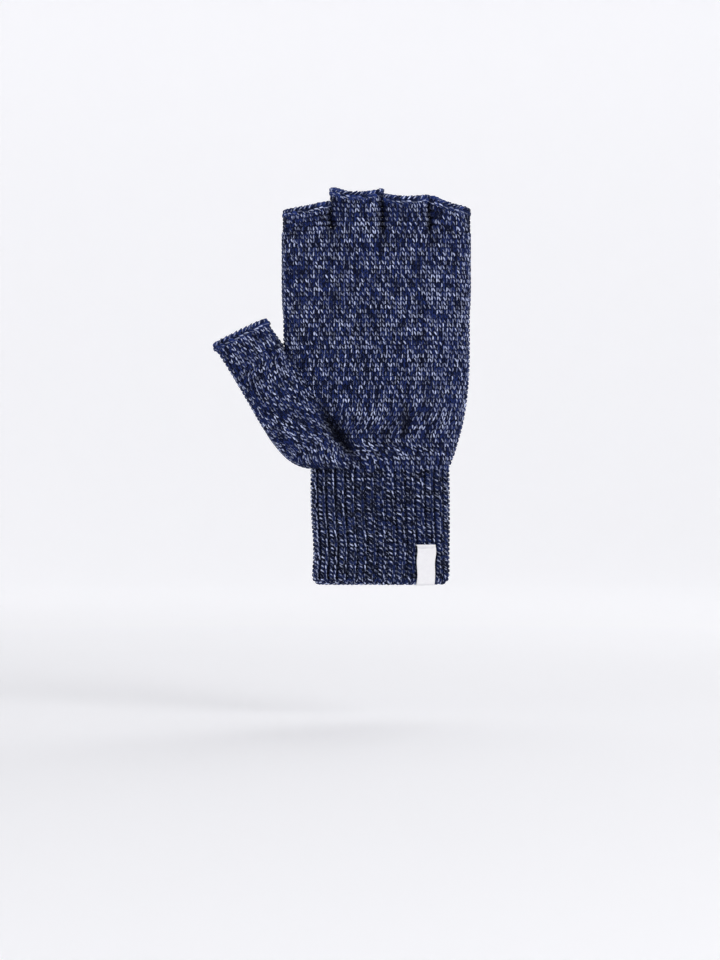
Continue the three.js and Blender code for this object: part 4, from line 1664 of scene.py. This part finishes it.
def open_wall(name: str, rings: list[Array], chart: list[Array], finish: Finish) -> bpy.types.Object:
    """Makes a pocket's wall from rings that start and end at its closed bottom.

    Args:
        name: Its name.
        rings: The rings, outside from the bottom up and then inside down again.
        chart: Each ring's wale and course numbers.
        finish: Its finish.

    Returns:
        The object.
    """
    size = len(rings[0])
    points = np.concatenate(rings)
    faces, corners = [], []
    for low in range(len(rings) - 1):
        for i in range(size):
            j = (i + 1) % size
            faces.append((low * size + i, low * size + j, (low + 1) * size + j, (low + 1) * size + i))
            corners += [chart[low][i], chart[low][i + 1], chart[low + 1][i + 1], chart[low + 1][i]]
    last = (len(rings) - 1) * size
    faces += [tuple(range(size))[::-1], tuple(last + i for i in range(size))]
    corners += [(0.0, 0.0)] * (2 * size)
    piece = mesh_piece(name, points, faces, finish)
    piece.data.uv_layers.new(name="chart").data.foreach_set("uv", np.array(corners, np.float32).ravel())
    return piece


# --------------------------------------------------------------------------- fastening


def strand(
    name: str, path: Array, radius: float, finish: Finish, twist: float = 500.0, sides: int = 10
) -> bpy.types.Object:
    """Makes a two-ply strand along a path, closed at both ends, with its yarn map.

    Args:
        name: Its name.
        path: The points of its middle, close together.
        radius: Its radius over both plies.
        finish: Its finish.
        twist: Turns of its plies for each metre.
        sides: Points round it.

    Returns:
        The object.
    """
    tangents = unit(np.gradient(path, axis=0))
    runs = runs_along(path)
    side = unit(np.cross(tangents[0], np.array([0.31, 0.87, 0.39])))
    points, marks = [], []
    for place, tangent, run in zip(path, tangents, runs):
        side = unit(side - tangent * np.dot(side, tangent))
        other = np.cross(tangent, side)
        for i in range(sides):
            turn = i / sides * 2 * math.pi
            reach = radius * (0.86 + 0.14 * math.cos(2 * (turn - run * twist * 2 * math.pi)))
            points.append(place + reach * (math.cos(turn) * side + math.sin(turn) * other))
        marks.append(run * 420)
    faces, corners = [], []
    for low in range(len(path) - 1):
        for i in range(sides):
            j = (i + 1) % sides
            faces.append((low * sides + i, low * sides + j, (low + 1) * sides + j, (low + 1) * sides + i))
            u, v = i / sides, (i + 1) / sides
            corners += [(marks[low], u), (marks[low], v), (marks[low + 1], v), (marks[low + 1], u)]
    last = (len(path) - 1) * sides
    faces += [tuple(range(sides))[::-1], tuple(last + i for i in range(sides))]
    corners += [(0.0, 0.0)] * (2 * sides)
    piece = mesh_piece(name, np.array(points), faces, finish)
    add_map(piece.data, "yarn", corners)
    tone = piece.data.attributes.new("tone", "FLOAT", "POINT")
    tone.data.foreach_set("value", np.full(len(points), 0.55, np.float32))
    return piece


def smooth_path(knots: list[tuple[float, float, float]], steps: int = 12) -> Array:
    """Points of a smooth curve through knots."""
    padded = [np.array(knots[0]) * 2 - np.array(knots[1]), *map(np.array, knots)]
    padded.append(np.array(knots[-1]) * 2 - np.array(knots[-2]))
    points = []
    for a, b, c, d in zip(padded, padded[1:], padded[2:], padded[3:]):
        for t in np.arange(steps) / steps:
            points.append(0.5 * (
                2 * b + (c - a) * t + (2 * a - 5 * b + 4 * c - d) * t * t
                + (3 * b - a - 3 * c + d) * t**3))
    points.append(np.array(knots[-1], float))
    return np.array(points)


@dataclass
class Fastening:
    """The cap's hinge seam, its cord loop, and the button on the back of the hand."""

    stitches: StitchMaker
    middle: tuple[float, float] = (-1.9 * MM, 19.3 * MM)
    button_height: float = 85.5 * MM
    button_radius: float = 7.5 * MM
    button_back: float = 17.3 * MM
    button_face: float = 20.3 * MM
    hole: float = 1.0 * MM
    hole_pitch: float = 4.0 * MM
    loop_radius: float = 9.3 * MM
    cord: float = 2.0 * MM
    tip: float = 96.7 * MM
    leg_spacing: float = 8.0 * MM
    seam_half: float = 42.25 * MM
    hinge: tuple[float, float] = (15.4 * MM, 192.0 * MM)
    edge_round: float = 0.9 * MM
    bar_radius: float = 0.38 * MM
    shank_radius: float = 0.4 * MM
    twist: float = 900.0

    def build_loop(self) -> None:
        """Makes the cord loop, from the cap's tip round the button and back."""
        x, y = self.middle
        half = self.leg_spacing / 2
        foot = self.tip - 1.4 * MM
        knots = [(x - half, y, self.tip), (x - half, y, foot)]
        for degrees in range(160, 381, 20):
            turn = math.radians(degrees)
            across, up = math.cos(turn) * self.loop_radius, math.sin(turn) * self.loop_radius
            knots.append((x + across, y, self.button_height + up))
        knots += [(x + half, y, foot), (x + half, y, self.tip)]
        path = smooth_path(knots)
        loop = strand("closing_loop", path, self.cord / 2, Finish.EDGE, twist=260.0, sides=14)
        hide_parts("cap_loop")
        rides("cap_back", "edge_yarn", loop)

    def build(self) -> None:
        """Makes the seam, the button and its thread, and puts them on the glove."""
        self._seam()
        self._button()
        self._thread()

    def _seam(self) -> None:
        """Makes the hinge's bead and the whip stitches that hold it down."""
        y, z = self.hinge
        xs = np.linspace(-self.seam_half, self.seam_half, 160) + self.middle[0]
        path = np.stack([xs, np.full(160, y), np.full(160, z)], axis=1)
        bead = strand("hinge_bead", path, 0.85 * MM, Finish.EDGE, twist=190.0)
        field_ = StitchField()
        count = int(2 * self.seam_half / (2.8 * MM))
        spots = (np.arange(count) + 0.5) / count * 2 * self.seam_half - self.seam_half + self.middle[0]
        for lift, out in ((-0.1, (0.0, 1.0, 0.2)), (0.85, (0.0, 0.15, 1.0))):
            reach = -1.2 * MM if lift > 0.5 else 0.55 * MM
            places = np.stack([spots, np.full(count, y + reach), np.full(count, z + lift * MM)], axis=1)
            ways = np.tile([0.35, -1.0, 0.1] if lift > 0.5 else [0.3, 0.1, 1.0], (count, 1))
            field_.add(places, ways, np.tile(out, (count, 1)), 1.9 * MM, 1.7 * MM)
        whip = self.stitches.knit("hinge_whip_stitches", field_, Leg.PURL, Finish.EDGE, 8.0)
        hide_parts("cap_seam")
        rides("glove", "edge_yarn", bead, whip)

    def _button(self) -> None:
        """Makes the dished, four-holed button."""
        radius, back, face = self.button_radius, self.button_back, self.button_face
        bend, quarter = self.edge_round, np.linspace(0, math.pi / 2, 6)
        outline = [(0.0, back)]
        outline += [
            (radius - bend + bend * math.sin(t), back + bend * (1 - math.cos(t))) for t in quarter]
        outline += [
            (radius - bend * (1 - math.cos(t)), face - bend + bend * math.sin(t)) for t in quarter]
        outline += [(radius - 1.5 * MM, face - 0.1 * MM), (radius - 2.2 * MM, face - 0.6 * MM),
                    (radius - 3.4 * MM, face - 0.8 * MM), (0.0, face - 0.75 * MM)]
        points, sides = [], 64
        rows = outline[1:-1]
        for reach, y in rows:
            for i in range(sides):
                turn = i / sides * 2 * math.pi
                points.append((
                    self.middle[0] + reach * math.cos(turn), y,
                    self.button_height + reach * math.sin(turn)))
        faces = ring_faces(len(rows), sides)
        last = (len(rows) - 1) * sides
        faces += [tuple(range(sides)), tuple(last + i for i in range(sides))[::-1]]
        button = mesh_piece("horn_button", np.array(points), faces, Finish.HORN)
        for x_side in (-1, 1):
            for z_side in (-1, 1):
                self._drill(button, x_side, z_side)
        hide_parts("cap_button")
        rides("glove", "button_horn", button)

    def _drill(self, button: bpy.types.Object, x_side: int, z_side: int) -> None:
        """Cuts one thread hole through the button."""
        cutter_mesh = bmesh.new()
        bmesh.ops.create_cone(
            cutter_mesh, cap_ends=True, segments=20, radius1=self.hole, radius2=self.hole, depth=0.02)
        mesh = bpy.data.meshes.new("cutter")
        cutter_mesh.to_mesh(mesh)
        cutter_mesh.free()
        cutter = bpy.data.objects.new("cutter", mesh)
        bpy.context.scene.collection.objects.link(cutter)
        cutter.rotation_euler = (math.pi / 2, 0, 0)
        half = self.hole_pitch / 2
        across, up = self.middle[0] + x_side * half, self.button_height + z_side * half
        cutter.location = (across, self.button_face, up)
        cut = button.modifiers.new("hole", "BOOLEAN")
        cut.operation, cut.solver, cut.object = "DIFFERENCE", "EXACT", cutter
        bpy.context.view_layer.update()
        seen = button.evaluated_get(bpy.context.evaluated_depsgraph_get())
        shaped = bpy.data.meshes.new_from_object(seen)
        button.modifiers.remove(cut)
        button.data = shaped
        bpy.data.objects.remove(cutter)
        bpy.data.meshes.remove(mesh)

    def _thread(self) -> None:
        """Makes the thread: a wound shank, and two bars through the holes."""
        half = self.hole_pitch / 2
        x, low, high = self.middle[0], 13.4 * MM, self.button_face
        strands = []
        for side in (-1, 1):
            z = self.button_height + side * half
            for lift in (-0.25, 0.25):
                rising = [
                    (-1.02, low), (-1.0, self.button_back), (-1.0, high - 0.6 * MM),
                    (-0.6, high + 0.15 * MM)]
                falling = [(-across, y) for across, y in rising[::-1]]
                bar = smooth_path([
                    (x + half * across, y, z + lift * MM)
                    for across, y in (*rising, (0.0, high + 0.3 * MM), *falling)], 5)
                name = f"button_bar_{side}_{lift}"
                strands.append(strand(name, bar, self.bar_radius, Finish.EDGE, self.twist, 8))
        turns = np.linspace(0.0, 5 * 2 * math.pi, 120)
        wound = np.stack([
            x + 2.6 * MM * np.cos(turns), np.linspace(13.9 * MM, 16.8 * MM, 120),
            self.button_height + 2.6 * MM * np.sin(turns)], axis=1)
        strands.append(strand("button_shank", wound, self.shank_radius, Finish.EDGE, self.twist, 8))
        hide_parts("button_thread")
        rides("glove", "sewing_thread", *strands)


# ------------------------------------------------------------------------------ label


@dataclass
class Label:
    """The woven label folded round the hem, and the stitches that tack it down."""

    middle: float = 24.22 * MM
    front: float = -10.8 * MM
    turn: float = math.radians(13.0)
    width: float = 10.0 * MM
    drop: float = 21.0 * MM
    inner_drop: float = 12.0 * MM
    out: float = 1.45 * MM
    inside: float = 6.2 * MM
    thickness: float = 0.45 * MM

    def place(self, points: Array) -> Array:
        """Moves points from the label's own frame to the cuff's front."""
        cos, sin = math.cos(self.turn), math.sin(self.turn)
        placed = points.copy()
        placed[:, 0] = points[:, 0] * cos - points[:, 1] * sin + self.middle
        placed[:, 1] = points[:, 0] * sin + points[:, 1] * cos + self.front
        return placed

    def path(self, steps: int = 110) -> Array:
        """The tape's middle line, from its top in front, under the hem and up inside."""
        low = -0.55 * MM
        line = [
            (-self.out - 0.1 * MM, self.drop - 0.8 * MM), (-self.out + 0.42 * MM, self.drop - 1.6 * MM),
            (-self.out - 0.22 * MM, self.drop - 2.6 * MM), (-self.out - 0.1 * MM, self.drop - 5 * MM),
            (-self.out, self.drop / 2), (-self.out, 1.4 * MM),
            (-self.out + 0.35 * MM, low + 0.35 * MM), (0.2 * MM, low - 0.1 * MM),
            (self.inside - 1.0 * MM, low), (self.inside - 0.1 * MM, low + 0.7 * MM),
            (self.inside, 2.2 * MM), (self.inside, self.inner_drop)]
        line.insert(0, (-self.out + 0.02 * MM, self.drop))
        path = smooth_path([(0.0, y, z) for y, z in line], 14)
        return along_line(path, np.linspace(0.0, runs_along(path)[-1], steps))

    def build(self) -> None:
        """Makes the tape and its stitches, and puts them on the glove."""
        path = self.path()
        across = np.linspace(-0.5, 0.5, 17)
        tangents = unit(np.gradient(path, axis=0))
        normals = np.stack([np.zeros(len(path)), tangents[:, 2], -tangents[:, 1]], axis=1)
        runs = runs_along(path)
        layers = []
        for side in (1.0, -1.0):
            rows = []
            for place, normal, run in zip(path, normals, runs):
                wobble = 0.22 * MM * math.sin(run / (2.1 * MM))
                wobble += 0.15 * MM * math.sin(run / (5.3 * MM) + 1)
                fray = 0.8 * MM * max(0.0, 1 - run / (1.6 * MM)) ** 2
                row = np.zeros((len(across), 3))
                row[:, 0] = across * (self.width + 0.25 * MM * math.sin(run / (3.4 * MM))) + wobble
                row[0, 0] -= fray
                ripple = 0.16 * MM * np.sin(across * 5 + run / (2.6 * MM))
                row += place + normal * (side * self.thickness / 2)
                row[:, 1] -= np.abs(ripple) * (1.0 if place[1] < 0 else -1.0)
                rows.append(row)
            layers.append(np.array(rows))
        count, wide = len(path), len(across)
        points = self.place(np.concatenate([layer.reshape(-1, 3) for layer in layers]))
        faces = []
        back = count * wide
        for i in range(count - 1):
            for j in range(wide - 1):
                a, b = i * wide + j, i * wide + j + 1
                faces.append((a, b, b + wide, a + wide))
                faces.append((back + b, back + a, back + a + wide, back + b + wide))
            for j, flip in ((0, False), (wide - 1, True)):
                a = i * wide + j
                edge = (a, a + wide, back + a + wide, back + a)
                faces.append(edge[::-1] if flip else edge)
        for i, flip in ((0, True), (count - 1, False)):
            for j in range(wide - 1):
                a = i * wide + j
                end = (a, a + 1, back + a + 1, back + a)
                faces.append(end if not flip else end[::-1])
        tape = mesh_piece("label_tape", points, faces, Finish.LABEL)
        repair = bmesh.new()
        repair.from_mesh(tape.data)
        bmesh.ops.recalc_face_normals(repair, faces=repair.faces)
        repair.to_mesh(tape.data)
        repair.free()
        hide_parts("woven_label")
        rides("glove", "label_cloth", tape)
        LOG.info("label's flat length: %.1f mm", runs[-1] / MM)
        self._tack()

    def _tack(self) -> None:
        """Makes the row of short stitches near the label's top."""
        stitches = []
        for i in range(5):
            x = (i - 2) * 1.8 * MM
            y, z = -self.out - 0.3 * MM, self.drop - 1.7 * MM
            line = smooth_path([
                (x - 0.7 * MM, y + 0.5 * MM, z), (x - 0.45 * MM, y, z), (x + 0.45 * MM, y, z),
                (x + 0.7 * MM, y + 0.5 * MM, z)], 5)
            line = self.place(line)
            stitches.append(strand(f"label_stitch_{i}", line, 0.16 * MM, Finish.LABEL, 900.0, 6))
        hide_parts("label_tack")
        rides("glove", "label_cloth", *stitches)


# ----------------------------------------------------------------------------- studio


@dataclass
class Studio:
    """A pale table and wall, soft light, and the camera in front of the palm."""

    table: float = -0.074
    distance: float = 1.4
    aim: tuple[float, float] = (-0.0108, 0.0556)
    seen_height: float = 0.518
    wall: Color = srgb(232, 232, 234)
    glow: float = 0.36

    def build_camera(self) -> None:
        """Makes the camera."""
        data = bpy.data.cameras.new("camera")
        data.sensor_fit = "VERTICAL"
        data.sensor_height = 36.0
        data.lens = 36.0 * self.distance / self.seen_height
        data.clip_end = 20.0
        camera = bpy.data.objects.new("camera", data)
        camera.location = (self.aim[0], -self.distance, self.aim[1])
        camera.rotation_euler = (math.pi / 2, 0, 0)
        bpy.context.scene.collection.objects.link(camera)
        bpy.context.scene.camera = camera

    def build(self) -> None:
        """Makes the table, the wall behind it and the lights."""
        world = bpy.data.worlds.new("studio")
        world.use_nodes = True
        world.node_tree.nodes["Background"].inputs[0].default_value = (1, 1, 1, 1)
        world.node_tree.nodes["Background"].inputs[1].default_value = 0.26
        scene = bpy.context.scene
        scene.world = world
        scene.view_settings.view_transform = "Standard"
        material, tree, surface = shader_tree("studio_wall")
        surface.inputs["Base Color"].default_value = self.wall
        surface.inputs["Roughness"].default_value = 0.8
        # Painted light: the sweep glows in its own colour, weakly near the middle and up to the glow
        # strength further out.
        surface.inputs["Emission Color"].default_value = self.wall
        reach = tree.nodes.new("ShaderNodeVectorMath")
        reach.operation = "LENGTH"
        tree.links.new(tree.nodes.new("ShaderNodeTexCoord").outputs["Object"], reach.inputs[0])
        rise = remap(tree, reach.outputs["Value"], (0.3, 1.7), (0.1, self.glow))
        tree.links.new(rise, surface.inputs["Emission Strength"])
        profile = [(0.02, self.table), (1.7, self.table)]
        for turn in np.linspace(0.0, math.pi / 2, 16)[1:]:
            profile.append((1.7 + 0.8 * math.sin(turn), self.table + 0.8 * (1 - math.cos(turn))))
        profile.append((2.5, 3.2))
        sides = 96
        vertices = []
        for reach, z in profile:
            for i in range(sides):
                turn = i / sides * 2 * math.pi
                vertices.append((reach * math.cos(turn), reach * math.sin(turn), z))
        faces = [*ring_faces(len(profile), sides), tuple(range(sides))]
        mesh = bpy.data.meshes.new("sweep")
        mesh.from_pydata(vertices, [], faces)
        mesh.polygons.foreach_set("use_smooth", [True] * len(mesh.polygons))
        mesh.materials.append(material)
        sweep = bpy.data.objects.new("sweep", mesh)
        scene.collection.objects.link(sweep)
        lights = [
            self._light("key", (0.85, -0.95, 0.95), 0.7, 6.2),
            self._light("fill", (-1.0, -1.0, 0.55), 1.0, 1.5),
            self._light("top", (0.0, 0.35, 1.25), 0.8, 2.3),
            self._light("back", (0.5, 0.85, 1.0), 0.7, 2.4),
        ]

    def _light(
        self, name: str, place: tuple[float, float, float], size: float, power: float
    ) -> bpy.types.Object:
        """Makes one soft light that faces the hand."""
        data = bpy.data.lights.new(name, "AREA")
        data.size = size
        data.energy = power
        light = bpy.data.objects.new(name, data)
        light.location = place
        light.visible_camera = False
        aim = Vector((0.0, 0.0, 0.11)) - Vector(place)
        light.rotation_euler = aim.to_track_quat("-Z", "Y").to_euler()
        bpy.context.scene.collection.objects.link(light)
        return light


# ------------------------------------------------------------------------------- main


def main() -> None:
    """Makes the whole model in order."""
    logging.basicConfig(level=logging.INFO, format="%(name)s: %(message)s")
    studio = Studio()
    studio.build_camera()
    maker = StitchMaker()
    fastening = Fastening(maker)
    fastening.build_loop()
    fastening.build()
    Cuff(maker).build()
    gusset = Gusset()
    hand = Hand(maker, gusset)
    hand.build()
    Thumb(maker, gusset, hand).build()
    fingers = [
        Finger("index", -39.15 * MM, 25.2 * MM, 10.4 * MM, 15.2 * MM, 0.6 * MM),
        Finger("middle", -12.55 * MM, 27.4 * MM, 22.2 * MM, 21.7 * MM, 2.4 * MM, 0.9 * MM),
        Finger("ring", 13.95 * MM, 25.0 * MM, 19.0 * MM, 18.6 * MM, 1.6 * MM),
        Finger("little", 37.35 * MM, 21.2 * MM, 17.8 * MM, 11.2 * MM, 0.8 * MM, 0.5 * MM),
    ]
    for finger in fingers:
        finger.build(maker)
    Cap(maker).build()
    Label().build()
    studio.build()
    bpy.context.view_layer.update()


if __name__ == "__main__":
    main()
